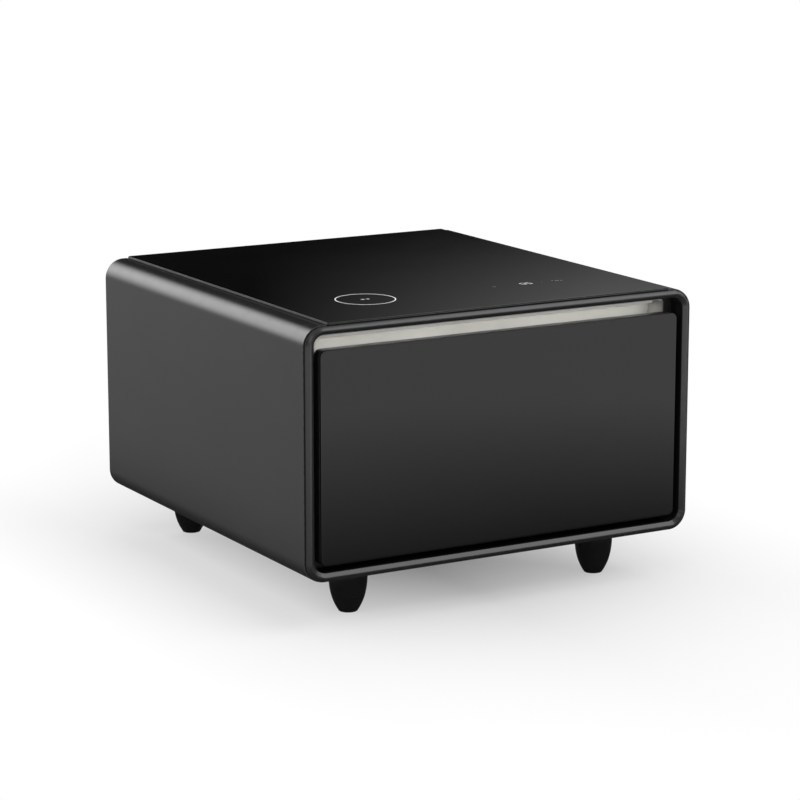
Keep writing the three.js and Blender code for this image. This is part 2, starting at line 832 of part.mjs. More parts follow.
// Drawer front: glass face, moulded tray, foam, inner panel with a plug, and a magnetic gasket
const doorLoop = { halfWidth: doorHalfWidth, low: doorLow, high: doorHigh, radius: doorRadius };
const gasketInner = { ...insetLoop(linerOpening, -gasketMargin), radius: gasketRadius };
const gasketOuter = { ...insetLoop(gasketInner, -gasketWidth), radius: gasketRadius + gasketWidth };

function makeDrawerFront() {
  const face = softPlate(standing, doorLoop, doorSetback, doorGlassBack, doorEdge);
  addPiece("drawer_glass", face, finishes.glass);
  const opening = insetLoop(gasketInner, openingLip);
  const hollow = insetLoop(doorLoop, doorFrameWall);
  const lipFront = doorFrameBack - doorFrameWall;
  const hollowFront = doorFrameFront + doorFrameWall;
  addPiece("drawer_front_tray", skin([
    standing(insetLoop(doorLoop, doorEdge), doorFrameFront),
    standing(doorLoop, doorFrameFront + doorEdge),
    standing(doorLoop, doorFrameBack - doorEdge),
    standing(insetLoop(doorLoop, doorEdge), doorFrameBack),
    standing(opening, doorFrameBack),
    standing(opening, lipFront),
    standing(hollow, lipFront),
    standing(hollow, hollowFront),
  ]), finishes.moulded);
  const foam = insetLoop(hollow, seatGap);
  addPiece("drawer_front_foam", skin([
    standing(foam, hollowFront + seatGap),
    standing(foam, lipFront - seatGap),
  ]), finishes.foam);
  const panel = insetLoop(gasketInner, seatGap);
  const plug = insetLoop(linerOpening, plugClearance);
  addPiece("drawer_inner_panel", skin([
    standing(panel, gasketFront),
    standing(panel, gasketBack),
    standing(plug, gasketBack),
    standing(plug, plugBack - plugEdge),
    standing(insetLoop(plug, plugEdge), plugBack),
  ]), finishes.liner);
}

// The gasket is a bellows: a wide foot on the tray, a waist, and a wide lip on the cabinet's face.
function makeGasket() {
  const depth = gasketBack - gasketFront;
  const level = (share) => gasketFront + share * depth;
  const waistIn = mixLoops(gasketInner, gasketOuter, gasketLipShare / 2);
  const waistOut = mixLoops(gasketInner, gasketOuter, 1 - gasketLipShare / 2);
  addPiece("drawer_gasket", skin([
    standing(gasketInner, level(0)),
    standing(gasketInner, level(gasketLipShare)),
    standing(waistIn, level(gasketWaistShare)),
    standing(gasketInner, level(1 - gasketLipShare)),
    standing(gasketInner, level(1)),
    standing(gasketOuter, level(1)),
    standing(gasketOuter, level(1 - gasketLipShare)),
    standing(waistOut, level(gasketWaistShare)),
    standing(gasketOuter, level(gasketLipShare)),
    standing(gasketOuter, level(0)),
  ], true), finishes.rubber);
}

// The bin is an open tub with a rolled rim, and a windowed divider stands across it.
function makeBin() {
  const outer = {
    halfWidth: binHalfWidth,
    low: fromFront(binFront),
    high: fromFront(binBack),
    radius: binRadius,
  };
  const inner = insetLoop(outer, binWall);
  const rimInner = insetLoop(inner, binRim - binWall, 0);
  const rimLow = binHigh - binRimThickness;
  addPiece("drawer_bin", skin([
    lying(insetLoop(outer, binWall), binLow),
    lying(outer, binLow + binWall),
    lying(outer, binHigh),
    lying(rimInner, binHigh),
    lying(rimInner, rimLow),
    lying(inner, rimLow),
    lying(inner, binLow + binWall + binWall),
    lying(insetLoop(inner, binWall), binLow + binWall),
  ]), finishes.liner);
  const y = fromFront(binFront + (binBack - binFront) * dividerPlaceShare);
  const half = binHalfWidth - binWall - seatGap;
  const low = binLow + binWall + seatGap;
  const top = binHigh - dividerDrop;
  const sheet = boxBetween([-half, y, low + binWall], [half, y + dividerThickness, top]);
  const foot = boxBetween(
    [binWall - half, y, low],
    [half - binWall, y + dividerThickness, low + 2 * binWall],
  );
  const windowWidth = (2 * half - dividerBar) / dividerWindows - dividerBar;
  const windows = [];
  for (let index = 0; index < dividerWindows; index += 1) {
    const start = dividerBar - half + index * (windowWidth + dividerBar);
    windows.push(boxBetween(
      [start, y - overrun, low + dividerBar],
      [start + windowWidth, y + dividerThickness + overrun, top - dividerBar],
    ));
  }
  addPiece("bin_divider", shaped(sheet, [foot], windows), finishes.liner);
}

// Each slide has three rolled members that nest: a lip on each holds the next one in.
function memberSection(near, far, halfHeight) {
  const fold = halfHeight - slideWall;
  const tip = fold - slideLip;
  return [
    [near, -halfHeight], [far, -halfHeight], [far, -tip], [far - slideWall, -tip],
    [far - slideWall, -fold], [near + slideWall, -fold], [near + slideWall, fold], [far - slideWall, fold],
    [far - slideWall, tip], [far, tip], [far, halfHeight], [near, halfHeight],
  ];
}

function hookedSection(near, far, halfHeight) {
  const hook = halfHeight + slideLip;
  const fold = halfHeight - slideWall;
  return [
    [far, -halfHeight], [far, halfHeight], [near + slideWall, halfHeight], [near + slideWall, hook],
    [near, hook], [near, fold], [far - slideWall, fold], [far - slideWall, -fold],
    [near, -fold], [near, -hook], [near + slideWall, -hook], [near + slideWall, -halfHeight],
  ];
}

function makeSlides() {
  const step = slideWall + slideRunningGap;
  const half = slideHeight / 2;
  const innerHalf = half - 2 * step - slideLip - slideRunningGap;
  const members = [
    ["slide_outer", memberSection(0, slideThickness - step, half)],
    ["slide_middle", memberSection(step, slideThickness - 2 * step - slideRunningGap, half - step)],
    ["slide_inner", hookedSection(2 * step, slideThickness, innerHalf)],
  ];
  for (const [side, sign] of [["left", -1], ["right", 1]]) {
    for (const [name, section] of members) {
      const wall = linerWidth / 2 - seatGap;
      const outline = shapeOf(section.map(([away, up]) => [sign * (wall - away), slideCentre + up]));
      const member = alongDepth(outline, slideFront, slideFront + slideLength);
      addPiece(`${name}_${side}`, member, finishes.steel);
    }
  }
}

// Feet: a bullet-shaped turning with a blind bore, on a flanged stud that passes through the wrap
function makeFeet() {
  const profile = [[0, 0], [footTipRadius - footTipEdge, 0]];
  for (let step = 0; step <= footSteps; step += 1) {
    const share = (step / footSteps) ** footStepGathering;
    const fill = 1 - (1 - share) ** footFullness;
    const height = footTipEdge + share * (footHeight - seatGap - footTipEdge);
    profile.push([footTipRadius + (footTopRadius - footTipRadius) * fill, height]);
  }
  const boreRadius = studRadius + seatGap;
  const boreFloor = footHeight - studReach - seatGap;
  profile.push([boreRadius, footHeight - seatGap], [boreRadius, boreFloor], [0, boreFloor]);
  const nutLow = innerBottom + studFlangeThickness;
  const stud = [
    [0, footHeight - studReach],
    [studRadius, footHeight - studReach],
    [studRadius, innerBottom],
    [studFlangeRadius, innerBottom],
    [studFlangeRadius, nutLow],
    [studNutRadius, nutLow],
    [studNutRadius, nutLow + studNutHeight],
    [0, nutLow + studNutHeight],
  ];
  for (const { corner, x, y } of footPlaces) {
    addPiece(`foot_${corner}`, turned(profile, footSides, x, y, 0), finishes.moulded);
    addPiece(`foot_stud_${corner}`, turned(stud, studSides, x, y, 0), finishes.steel);
  }
}

// Under the glass: the charging puck with its wound coil, and the touch board with its spring pads
function makeUnderGlass() {
  const top = glassUnderside - seatGap;
  const low = top - chargerHeight;
  const cupFloor = low + chargerFloor;
  addPiece("charger_case", turned([
    [0, low], [chargerRadius, low], [chargerRadius, top], [chargerRadius - chargerWall, top],
    [chargerRadius - chargerWall, cupFloor], [0, cupFloor],
  ], chargerSides, chargerPlace, chargerY, 0), finishes.moulded);
  const coilLow = cupFloor + seatGap;
  const turnWidth = (coilOuterRadius - coilInnerRadius) / coilTurns;
  const winding = [[coilInnerRadius, coilLow]];
  for (let turn = 0; turn < coilTurns; turn += 1) {
    const from = coilInnerRadius + turn * turnWidth;
    winding.push([from + turnWidth / 2, coilLow + coilThickness]);
    winding.push([from + turnWidth, coilLow + coilThickness / 2]);
  }
  winding.push([coilOuterRadius, coilLow], [coilInnerRadius, coilLow]);
  addPiece("charger_coil", turned(winding, chargerSides, chargerPlace, chargerY, 0), finishes.copper);

  const board = skin([lying(touchLoop(0), top - touchThickness), lying(touchLoop(0), top)]);
  const pads = [];
  for (let key = 0; key < touchKeys; key += 1) {
    const x = touchPlace + (key - (touchKeys - 1) / 2) * (touchWidth / touchKeys);
    const padLow = top - touchThickness - touchKeyHeight;
    pads.push(roundBar(touchKeyRadius, padLow, top - touchThickness / 2, x, touchY, studSides));
  }
  addPiece("touch_board", shaped(board, pads, []), finishes.board);
}

// Machine compartment: partition, base plate with mounting pins, and the louvred back
function makeCompartment() {
  addPiece("machine_partition",
    alongDepth(shapeOf(roundedLoop(innerLoop)), partitionFront, partitionBack), finishes.steel);

  const front = fromFront(partitionBack + basePlateMargin);
  const back = fromFront(backPanelFront - basePlateMargin);
  const half = innerHalfWidth - innerRadius;
  const plate = boxBetween([-half, front, innerBottom], [half, back, basePlateTop]);
  const pinLow = innerBottom + basePlateThickness / 2;
  const pins = mountPlaces().map(([x, y]) =>
    roundBar(mountPinRadius, pinLow, basePlateTop + mountPinHeight, x, y, studSides));
  const studRooms = footPlaces.slice(2).map(({ x, y }) =>
    roundBar(studFlangeRadius + seatGap, innerBottom - overrun, basePlateTop + overrun, x, y, footSides));
  addPiece("base_plate", shaped(plate, pins, studRooms), finishes.steel);
}

function mountPlaces() {
  const middle = fromFront(machineMiddle);
  const places = [];
  for (const across of [-1, 1]) {
    for (const along of [-1, 1]) {
      const x = compressorPlace + (across * mountSpanWidth) / 2;
      places.push([x, middle + (along * mountSpanDepth) / 2]);
    }
  }
  return places;
}

function makeBackPanel() {
  const panel = alongDepth(shapeOf(roundedLoop(innerLoop)), backPanelFront, backPanelBack);
  const blades = [];
  const slots = [];
  for (const place of louvrePlaceShares.map(acrossBy)) {
    for (let row = 0; row < louvreRows; row += 1) {
      const low = shellBottom + louvreLevel + row * louvrePitch;
      const high = low + louvreSlot;
      const wall = fromFront(backPanelBack);
      const blade = shapeOf([
        [wall - louvreWall, high + louvreWall],
        [wall - louvreWall, high],
        [wall + louvreReach - louvreWall, low + louvreWall],
        [wall + louvreReach, low + louvreWall],
      ]);
      blades.push(alongWidth(blade, place - louvreWidth / 2, place + louvreWidth / 2));
      slots.push(boxBetween(
        [place - louvreWidth / 2, fromFront(backPanelFront) - overrun, low],
        [place + louvreWidth / 2, wall + overrun, high],
      ));
    }
  }
  const hole = insetLoop(inletLoop, -seatGap);
  const inletHole = skin([
    standing(hole, backPanelFront - overrun),
    standing(hole, backPanelBack + overrun),
  ]);
  const pierced = shaped(panel, [], [...slots, inletHole]);
  addPiece("back_panel", shaped(pierced, blades, []), finishes.moulded);
}

const inletLoop = {
  halfWidth: inletWidth / 2,
  low: shellBottom + inletLevel - inletHeight / 2,
  high: shellBottom + inletLevel + inletHeight / 2,
  radius: inletRadius,
  centre: inletPlace,
};

// The mains inlet: a flanged socket body snapped into the back panel, with three flat pins inside
function makeInlet() {
  const flange = insetLoop(inletLoop, -inletFlange);
  const flangeFront = backPanelBack + seatGap;
  const flangeBack = flangeFront + inletFlangeThickness;
  const well = insetLoop(inletLoop, inletWall);
  const body = skin([
    standing(inletLoop, flangeBack - inletBodyDepth),
    standing(inletLoop, flangeFront),
    standing(flange, flangeFront),
    standing(flange, flangeBack),
    standing(well, flangeBack),
    standing(well, flangeBack - inletSocketDepth),
  ]);
  const wellMiddle = shellBottom + inletLevel;
  const pins = inletPinShares.map(([acrossShare, upShare]) => {
    const x = inletPlace + acrossShare * inletWidth;
    const z = wellMiddle + upShare * inletHeight;
    return boxBetween(
      [x - inletWall / 2, fromFront(flangeBack - inletSocketDepth - inletWall / 2), z - inletWall],
      [x + inletWall / 2, fromFront(flangeBack - inletPinRecess), z + inletWall],
    );
  });
  addPiece("power_inlet", shaped(body, pins, []), finishes.moulded);
}

// Compressor: two domed half shells with a weld flange, on a bracket with four rubber mounts
function makeCompressor() {
  const y = fromFront(machineMiddle);
  const bracketTop = bracketLevel + bracketThickness;
  const dome = compressorHeight * domeShare;
  const seamLow = (compressorHeight - compressorSeamHeight) / 2;
  const profile = [];
  for (let step = 0; step <= domeSteps; step += 1) {
    const angle = (step / domeSteps) * quarterTurn;
    profile.push([compressorRadius * Math.sin(angle), dome * (1 - Math.cos(angle))]);
  }
  profile.push([compressorRadius, seamLow], [compressorRadius + compressorSeam, seamLow]);
  profile.push([compressorRadius + compressorSeam, seamLow + compressorSeamHeight]);
  profile.push([compressorRadius, seamLow + compressorSeamHeight]);
  for (let step = 0; step <= domeSteps; step += 1) {
    const angle = (step / domeSteps) * quarterTurn;
    profile.push([compressorRadius * Math.cos(angle), compressorHeight - dome * (1 - Math.sin(angle))]);
  }
  const floor = compressorFloor;
  const stubs = [
    pipe([
      new THREE.Vector3(compressorPlace, y, floor + compressorHeight - dome / 2),
      new THREE.Vector3(compressorPlace, y, dischargeLevel),
    ], stubRadius),
    pipe([
      new THREE.Vector3(compressorPlace, y, suctionLevel),
      new THREE.Vector3(compressorPlace + compressorRadius + stubLength, y, suctionLevel),
    ], stubRadius),
  ];
  const shell = turned(profile, compressorSides, compressorPlace, y, floor);
  addPiece("compressor_shell", shaped(shell, stubs, []), finishes.compressor);

  const places = mountPlaces();
  const bracket = softPlate(lying, {
    halfWidth: mountSpanWidth / 2 + bracketMargin,
    low: y - mountSpanDepth / 2 - bracketMargin,
    high: y + mountSpanDepth / 2 + bracketMargin,
    radius: bracketRadius,
    centre: compressorPlace,
  }, bracketLevel, bracketTop, bracketEdge);
  const holes = places.map(([x, depth]) =>
    roundBar(grommetWaist + seatGap, bracketLevel - overrun, bracketTop + overrun, x, depth, studSides));
  addPiece("compressor_bracket", shaped(bracket, [], holes), finishes.steel);

  const bore = mountPinRadius + seatGap;
  const foot = basePlateTop + seatGap;
  const collar = bracketTop + seatGap;
  places.forEach(([x, depth], index) => {
    const profile = [
      [bore, foot], [grommetRadius, foot], [grommetRadius, foot + grommetFoot],
      [grommetWaist, foot + grommetFoot], [grommetWaist, collar], [grommetCapRadius, collar],
      [grommetCapRadius, collar + grommetCollar], [bore, collar + grommetCollar], [bore, foot],
    ];
    const mount = turned(profile, studSides, x, depth, 0);
    addPiece(`compressor_mount_${index + 1}`, mount, finishes.rubber);
  });

  const boxLoop = {
    halfWidth: terminalDepth,
    low: y - terminalWidth / 2,
    high: y + terminalWidth / 2,
    radius: terminalRadius,
    centre: compressorPlace - compressorRadius,
  };
  const boxLow = floor + seamLow + compressorSeamHeight + seatGap;
  const cover = softPlate(lying, boxLoop, boxLow, boxLow + terminalHeight, caseEdge);
  const mouth = roundBar(compressorRadius + seatGap, boxLow - overrun, boxLow + terminalHeight + overrun,
    compressorPlace, y, compressorSides);
  addPiece("terminal_cover", shaped(cover, [], [mouth]), finishes.moulded);
}

// The condenser is one tube: down through the first row of runs and up through the next.
function makeCondenser() {
  const tubeEnd = (row, level, end) =>
    new THREE.Vector3(condenserPlace + row * condenserRowPitch, end, condenserLow + level * condenserPitch);
  const lead = new THREE.Vector3(0, 0, condenserLead);
  const corners = [tubeEnd(0, condenserRuns - 1, condenserBackEnd).add(lead)];
  for (let row = 0; row < condenserRows; row += 1) {
    for (let run = 0; run < condenserRuns; run += 1) {
      const level = row % 2 === 0 ? condenserRuns - 1 - run : run;
      const ends = [condenserBackEnd, condenserFrontEnd];
      if (run % 2 === 1) ends.reverse();
      for (const end of ends) corners.push(tubeEnd(row, level, end));
    }
  }
  const last = corners[corners.length - 1];
  const outlet = new THREE.Vector3(condenserLead, 0, 0).add(last);
  corners.push(outlet);
  const route = withBends(corners, condenserPitch * bendRadiusShare);
  addPiece("condenser_coil", pipe(route, condenserTubeRadius), finishes.copper);

  const condenserHoleRadius = (condenserTubeRadius + seatGap) / Math.cos((2 * quarterTurn) / tubeSides);
  const bars = [];
  for (let row = 0; row < condenserRows; row += 1) {
    for (let run = 0; run < condenserRuns; run += 1) {
      const bar = new THREE.CylinderGeometry(
        condenserHoleRadius, condenserHoleRadius, 2 * condenserSpan, tubeSides);
      const { x, z } = tubeEnd(row, run, 0);
      bar.translate(x, fromFront(machineMiddle), z);
      bars.push(bar);
    }
  }
  for (const [name, side] of [["front", -1], ["rear", 1]]) {
    const y = fromFront(machineMiddle) + side * (condenserSpan / 2 - bracketPlateInset);
    const plate = boxBetween(
      [condenserPlace - bracketPlateMargin, y - bracketPlateThickness / 2, basePlateTop + seatGap],
      [
        condenserPlace + (condenserRows - 1) * condenserRowPitch + bracketPlateMargin,
        y + bracketPlateThickness / 2,
        condenserTop + bracketPlateMargin,
      ],
    );
    addPiece(`condenser_bracket_${name}`, shaped(plate, [], bars), finishes.steel);
  }
  makeDrier(outlet);
}

// The filter drier is a copper can with a neck at each end, in line with the condenser's outlet.
function makeDrier(outlet) {
  const shoulder = drierNeck + (drierRadius - drierNeckRadius);
  const can = turned([
    [0, 0], [drierNeckRadius, 0], [drierNeckRadius, drierNeck], [drierRadius, shoulder],
    [drierRadius, drierLength - shoulder], [drierNeckRadius, drierLength - drierNeck],
    [drierNeckRadius, drierLength], [0, drierLength],
  ], studSides, 0, 0, 0);
  can.rotateY(quarterTurn);
  can.translate(outlet.x + seatGap, outlet.y, outlet.z);
  addPiece("filter_drier", can, finishes.copper);
}

function makePipes() {
  const y = fromFront(machineMiddle);
  const rise = 2 * stubLength;
  const bend = stubLength;
  const across = dischargeLevel + rise;
  addPiece("discharge_pipe", pipe(withBends([
    new THREE.Vector3(compressorPlace, y, dischargeLevel + seatGap),
    new THREE.Vector3(compressorPlace, y, across),
    new THREE.Vector3(condenserPlace, y, across),
    new THREE.Vector3(condenserPlace, condenserBackEnd, across),
    new THREE.Vector3(condenserPlace, condenserBackEnd, condenserTop + condenserLead + seatGap),
  ], bend), condenserTubeRadius), finishes.copper);
  const stubEnd = compressorPlace + compressorRadius + stubLength;
  addPiece("suction_pipe", pipe(withBends([
    new THREE.Vector3(stubEnd + seatGap, y, suctionLevel),
    new THREE.Vector3(stubEnd + rise, y, suctionLevel),
    new THREE.Vector3(stubEnd + rise, fromFront(partitionBack + seatGap), suctionLevel),
  ], bend), condenserTubeRadius), finishes.copper);
}

// The fan blows along the compartment: its frame carries the motor, a shaft, and the bladed rotor.
const faceAlongWidth = (geometry) => {
  geometry.rotateY(quarterTurn);
  const level = basePlateTop + seatGap + fanSize / 2;
  geometry.translate(acrossBy(fanPlaceShare), fromFront(machineMiddle), level);
  return geometry;
};

function makeFan() {
  const square = shapeOf(roundedLoop({
    halfWidth: fanSize / 2, low: -fanSize / 2, high: fanSize / 2, radius: fanCornerRadius,
  }));
  const bore = new THREE.Path();
  bore.absarc(0, 0, fanBoreRadius, 0, 4 * quarterTurn, false);
  square.holes.push(new THREE.Path(bore.getPoints(fanSides)));
  const ring = extruded(square, fanDepth, cornerSteps);
  const held = [roundBar(fanHubRadius, 0, fanMotorDepth, 0, 0, footSides)];
  held.push(roundBar(fanShaftRadius, fanMotorDepth / 2, fanMotorDepth + fanShaftLength, 0, 0, studSides));
  for (let strut = 0; strut < fanStruts; strut += 1) {
    const bar = boxBetween(
      [fanHubRadius / 2, -fanStrutWidth / 2, 0],
      [fanBoreRadius + fanTipGap, fanStrutWidth / 2, fanMotorDepth / 2],
    );
    bar.rotateZ((strut + 1 / 2) * (4 / fanStruts) * quarterTurn);
    held.push(bar);
  }
  addPiece("fan_frame", faceAlongWidth(shaped(ring, held, [])), finishes.moulded);

  const hubLow = fanMotorDepth + 2 * seatGap;
  const hubTop = hubLow + fanHubDepth;
  const boreTop = fanMotorDepth + fanShaftLength + seatGap;
  const hub = turned([
    [fanShaftRadius + seatGap, hubLow], [fanHubRadius, hubLow], [fanHubRadius, hubTop - fanTipGap],
    [fanHubRadius - fanTipGap, hubTop], [0, hubTop], [0, boreTop], [fanShaftRadius + seatGap, boreTop],
    [fanShaftRadius + seatGap, hubLow],
  ], footSides, 0, 0, 0);
  const blades = [];
  for (let blade = 0; blade < fanBlades; blade += 1) {
    blades.push(fanBlade((blade / fanBlades) * 4 * quarterTurn, (hubLow + hubTop) / 2));
  }
  addPiece("fan_rotor", faceAlongWidth(shaped(hub, blades, [])), finishes.moulded);
}

// A blade is a flat section that swings back and flattens towards its tip.
function fanBlade(place, level) {
  const rootRadius = fanHubRadius - fanTipGap;
  const tipRadius = fanBoreRadius - fanTipGap;
  const rings = [];
  for (let step = 0; step <= fanBladeSteps; step += 1) {
    const share = step / fanBladeSteps;
    const turn = fanBladeRootTurn + (fanBladeTipTurn - fanBladeRootTurn) * share;
    const angle = place + fanBladeSweep * share * share;
    const outward = new THREE.Vector3(Math.cos(angle), Math.sin(angle), 0);
    const around = new THREE.Vector3(-outward.y, outward.x, 0);
    const upward = new THREE.Vector3(0, 0, 1);
    const chord = around.clone().multiplyScalar(Math.cos(turn)).addScaledVector(upward, Math.sin(turn));
    const thick = around.clone().multiplyScalar(-Math.sin(turn)).addScaledVector(upward, Math.cos(turn));
    const centre = outward.clone().multiplyScalar(rootRadius + (tipRadius - rootRadius) * share);
    centre.z = level;
    rings.push([[-1, -1], [1, -1], [1, 1], [-1, 1]].map(([along, over]) => centre.clone()
      .addScaledVector(chord, (along * fanBladeChord) / 2)
      .addScaledVector(thick, (over * fanBladeThickness) / 2)));
  }
  return skin(rings);
}

// Power supply and controller hang on the partition.
function makeElectrics() {
  const back = partitionBack + seatGap;
  const supplyRight = cabinetWidth / 2 - supplySideInset;
  const supply = softPlate(standing, {
    halfWidth: supplyWidth / 2,
    low: shellBottom + supplyLevel - supplyHeight / 2,
    high: shellBottom + supplyLevel + supplyHeight / 2,
    radius: caseRadius,
    centre: supplyRight - supplyWidth / 2,
  }, back, back + supplyDepth, caseEdge);
  addPiece("power_supply", supply, finishes.aluminium);
  const controller = softPlate(standing, {
    halfWidth: controllerWidth / 2,
    low: shellBottom + controllerLevel - controllerHeight / 2,
    high: shellBottom + controllerLevel + controllerHeight / 2,
    radius: caseRadius,
    centre: controllerWidth / 2 - supplyRight,
  }, back, back + controllerDepth, caseEdge);
  addPiece("main_controller", controller, finishes.moulded);
}

makeOuterWrap();
makeGlassTop();
makeFrontBezel();
makeFaceFrame();
makeLightCove();
makeStripLight();
makeInsulation();
makeInnerLiner();
makeEvaporator();
makeDrawerFront();
makeGasket();
makeBin();
makeSlides();
makeFeet();
makeUnderGlass();
makeCompartment();
makeBackPanel();
makeInlet();
makeCompressor();
makeCondenser();
makePipes();
makeFan();
makeElectrics();

export default table;
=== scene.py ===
import math

import bmesh
import bpy
import numpy as np
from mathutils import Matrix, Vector


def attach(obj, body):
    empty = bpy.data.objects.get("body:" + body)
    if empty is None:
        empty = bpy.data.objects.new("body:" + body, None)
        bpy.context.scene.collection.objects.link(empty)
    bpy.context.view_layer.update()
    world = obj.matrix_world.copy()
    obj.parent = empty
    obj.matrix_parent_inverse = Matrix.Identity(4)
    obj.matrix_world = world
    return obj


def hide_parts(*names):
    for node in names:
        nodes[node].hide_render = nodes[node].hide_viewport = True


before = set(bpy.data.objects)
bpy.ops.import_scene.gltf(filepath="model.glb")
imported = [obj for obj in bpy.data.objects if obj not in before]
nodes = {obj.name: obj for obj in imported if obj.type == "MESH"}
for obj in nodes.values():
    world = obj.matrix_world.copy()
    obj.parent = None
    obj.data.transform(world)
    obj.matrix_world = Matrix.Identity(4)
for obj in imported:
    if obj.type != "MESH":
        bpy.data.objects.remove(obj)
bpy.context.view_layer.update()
mm = 0.001
quarterTurn = math.pi / 2
print("frame loaded:", len(nodes), "nodes")


# Shader nodes

# An input takes another node's output or a value of its own
def feed(tree, socket, value):
    if isinstance(value, bpy.types.NodeSocket):
        tree.links.new(value, socket)
    else:
        socket.default_value = value


def addNode(tree, kind, **values):
    node = tree.nodes.new(kind)
    for key, value in values.items():
        if hasattr(node, key):
            setattr(node, key, value)
        else:
            feed(tree, node.inputs[key], value)
    return node


def remap(tree, source, fromMin, fromMax, toMin, toMax, kind="LINEAR"):
    node = addNode(tree, "ShaderNodeMapRange", interpolation_type=kind)
    labels = ("Value", "From Min", "From Max", "To Min", "To Max")
    for label, value in zip(labels, (source, fromMin, fromMax, toMin, toMax)):
        feed(tree, node.inputs[label], value)
    return node.outputs["Result"]


def combine(tree, operation, *terms):
    node = addNode(tree, "ShaderNodeMath", operation=operation)
    for socket, term in zip(node.inputs, terms):
        feed(tree, socket, term)
    return node.outputs[0]


def blend(tree, share, first, second, kind="VALUE"):
    node = addNode(tree, "ShaderNodeMix", data_type="RGBA" if kind == "RGBA" else "FLOAT")
    ends = [socket for socket in node.inputs if socket.name in ("A", "B") and socket.type == kind]
    for socket, value in zip((node.inputs[0], *ends), (share, first, second)):
        feed(tree, socket, value)
    return [socket for socket in node.outputs if socket.type == kind][0]


def placeOf(tree, space="Object"):
    return addNode(tree, "ShaderNodeTexCoord").outputs[space]


def axesOf(tree, vector):
    return addNode(tree, "ShaderNodeSeparateXYZ", Vector=vector).outputs


# The length of a step is the root of the sum of its two squares
def lengthOf(tree, first, second):
    squares = [combine(tree, "POWER", side, 2.0) for side in (first, second)]
    return combine(tree, "SQRT", combine(tree, "ADD", *squares))


# Rays from the eye, and rays that a gloss mirrors or glass lets through
def sortRays(tree):
    path = addNode(tree, "ShaderNodeLightPath").outputs
    return path["Is Camera Ray"], combine(tree, "MAXIMUM", path["Is Glossy Ray"], path["Is Transmission Ray"])


# Camera, floor and lamps

camera = {"place": (-1.9901, -3.4973, 1.0886), "turn": (77.871, 0.0, -29.831), "lens": 130.256, "sensor": 36.0,
          "reach": 200.0}


def makeCamera(values):
    data = bpy.data.cameras.new("photoView")
    data.lens = values["lens"]
    data.sensor_width = values["sensor"]
    data.clip_end = values["reach"]
    holder = bpy.data.objects.new("photoView", data)
    holder.location = values["place"]
    holder.rotation_euler = [math.radians(angle) for angle in values["turn"]]
    bpy.context.scene.collection.objects.link(holder)
    bpy.context.scene.camera = holder


def makePanel(name, corners):
    mesh = bpy.data.meshes.new(name)
    mesh.from_pydata(corners, [], [(0, 1, 2, 3)])
    panel = bpy.data.objects.new(name, mesh)
    bpy.context.scene.collection.objects.link(panel)
    material = bpy.data.materials.new(name)
    material.use_nodes = True
    mesh.materials.append(material)
    return panel, material.node_tree


# A ramp is given as where it starts, where it ends, and its level at each. What lifts the floor changes to the
# right, under the body's brink, deeper under the body and away from it, which paints the shape of the table's
# shadow on the floor
lift = {"slopes": [(-0.30, 0.0, 0.70, 0.415), (0.0, 0.26, 0.0, 0.14)], "brink": (0.0, 0.05, -0.16, 0.0),
        "deepLoss": 0.95, "rise": 1.1, "sideways": 2.0}
# the floor's level in gloss and through glass: painted shade near the table and on the right, and a painted bright
# band in front on the left
gloss = {"front": (0.06, 1.15, 0.0, 1.05), "back": [(0.0, 0.24, 0.04, 0.43), (0.24, 1.2, 0.0, 0.14)],
         "right": (0.1, 0.5, 0.05, 0.03), "band": [(-0.12, -0.35, 0.0, 1.2), (-0.5, -0.9, 1.0, 0.0)],
         "ahead": (-0.15, -0.45, 0.0, 1.0), "rightward": (0.24, 0.36, 0.0, 1.0)}
floor = {"reach": 40.0, "tone": 0.86, "rough": 0.85, "shine": 0.1, "footprint": (0.30, 0.31)}


# The lift is the sum of its ramps and of shares of the depth and the distance, and never over one. Where it is low
# the floor keeps more of its shade, a painted shadow shape
def floorLift(tree, values, place, beyond, depth):
    aside = combine(tree, "MULTIPLY", beyond[0], values["sideways"])
    spread = lengthOf(tree, aside, beyond[1])
    level = remap(tree, depth, *values["brink"])
    for more in (*(remap(tree, place["X"], *slope) for slope in values["slopes"]),
                 combine(tree, "MULTIPLY", depth, -values["deepLoss"]),
                 combine(tree, "MULTIPLY", spread, values["rise"])):
        level = combine(tree, "ADD", level, more)
    return combine(tree, "MINIMUM", level, 1.0)


def floorGloss(tree, values, place, beyond):
    back = combine(tree, "ADD", *(remap(tree, beyond[0], *ramp) for ramp in values["back"]))
    right = remap(tree, place["Y"], *values["right"])
    band = combine(tree, "MULTIPLY", *(remap(tree, place["X"], *ramp) for ramp in values["band"]))
    front = remap(tree, lengthOf(tree, *beyond), *values["front"])
    front = combine(tree, "MULTIPLY", front, combine(tree, "ADD", band, 1.0))
    behind = blend(tree, remap(tree, place["X"], *values["rightward"]), back, right)
    return blend(tree, remap(tree, place["Y"], *values["ahead"]), behind, front)
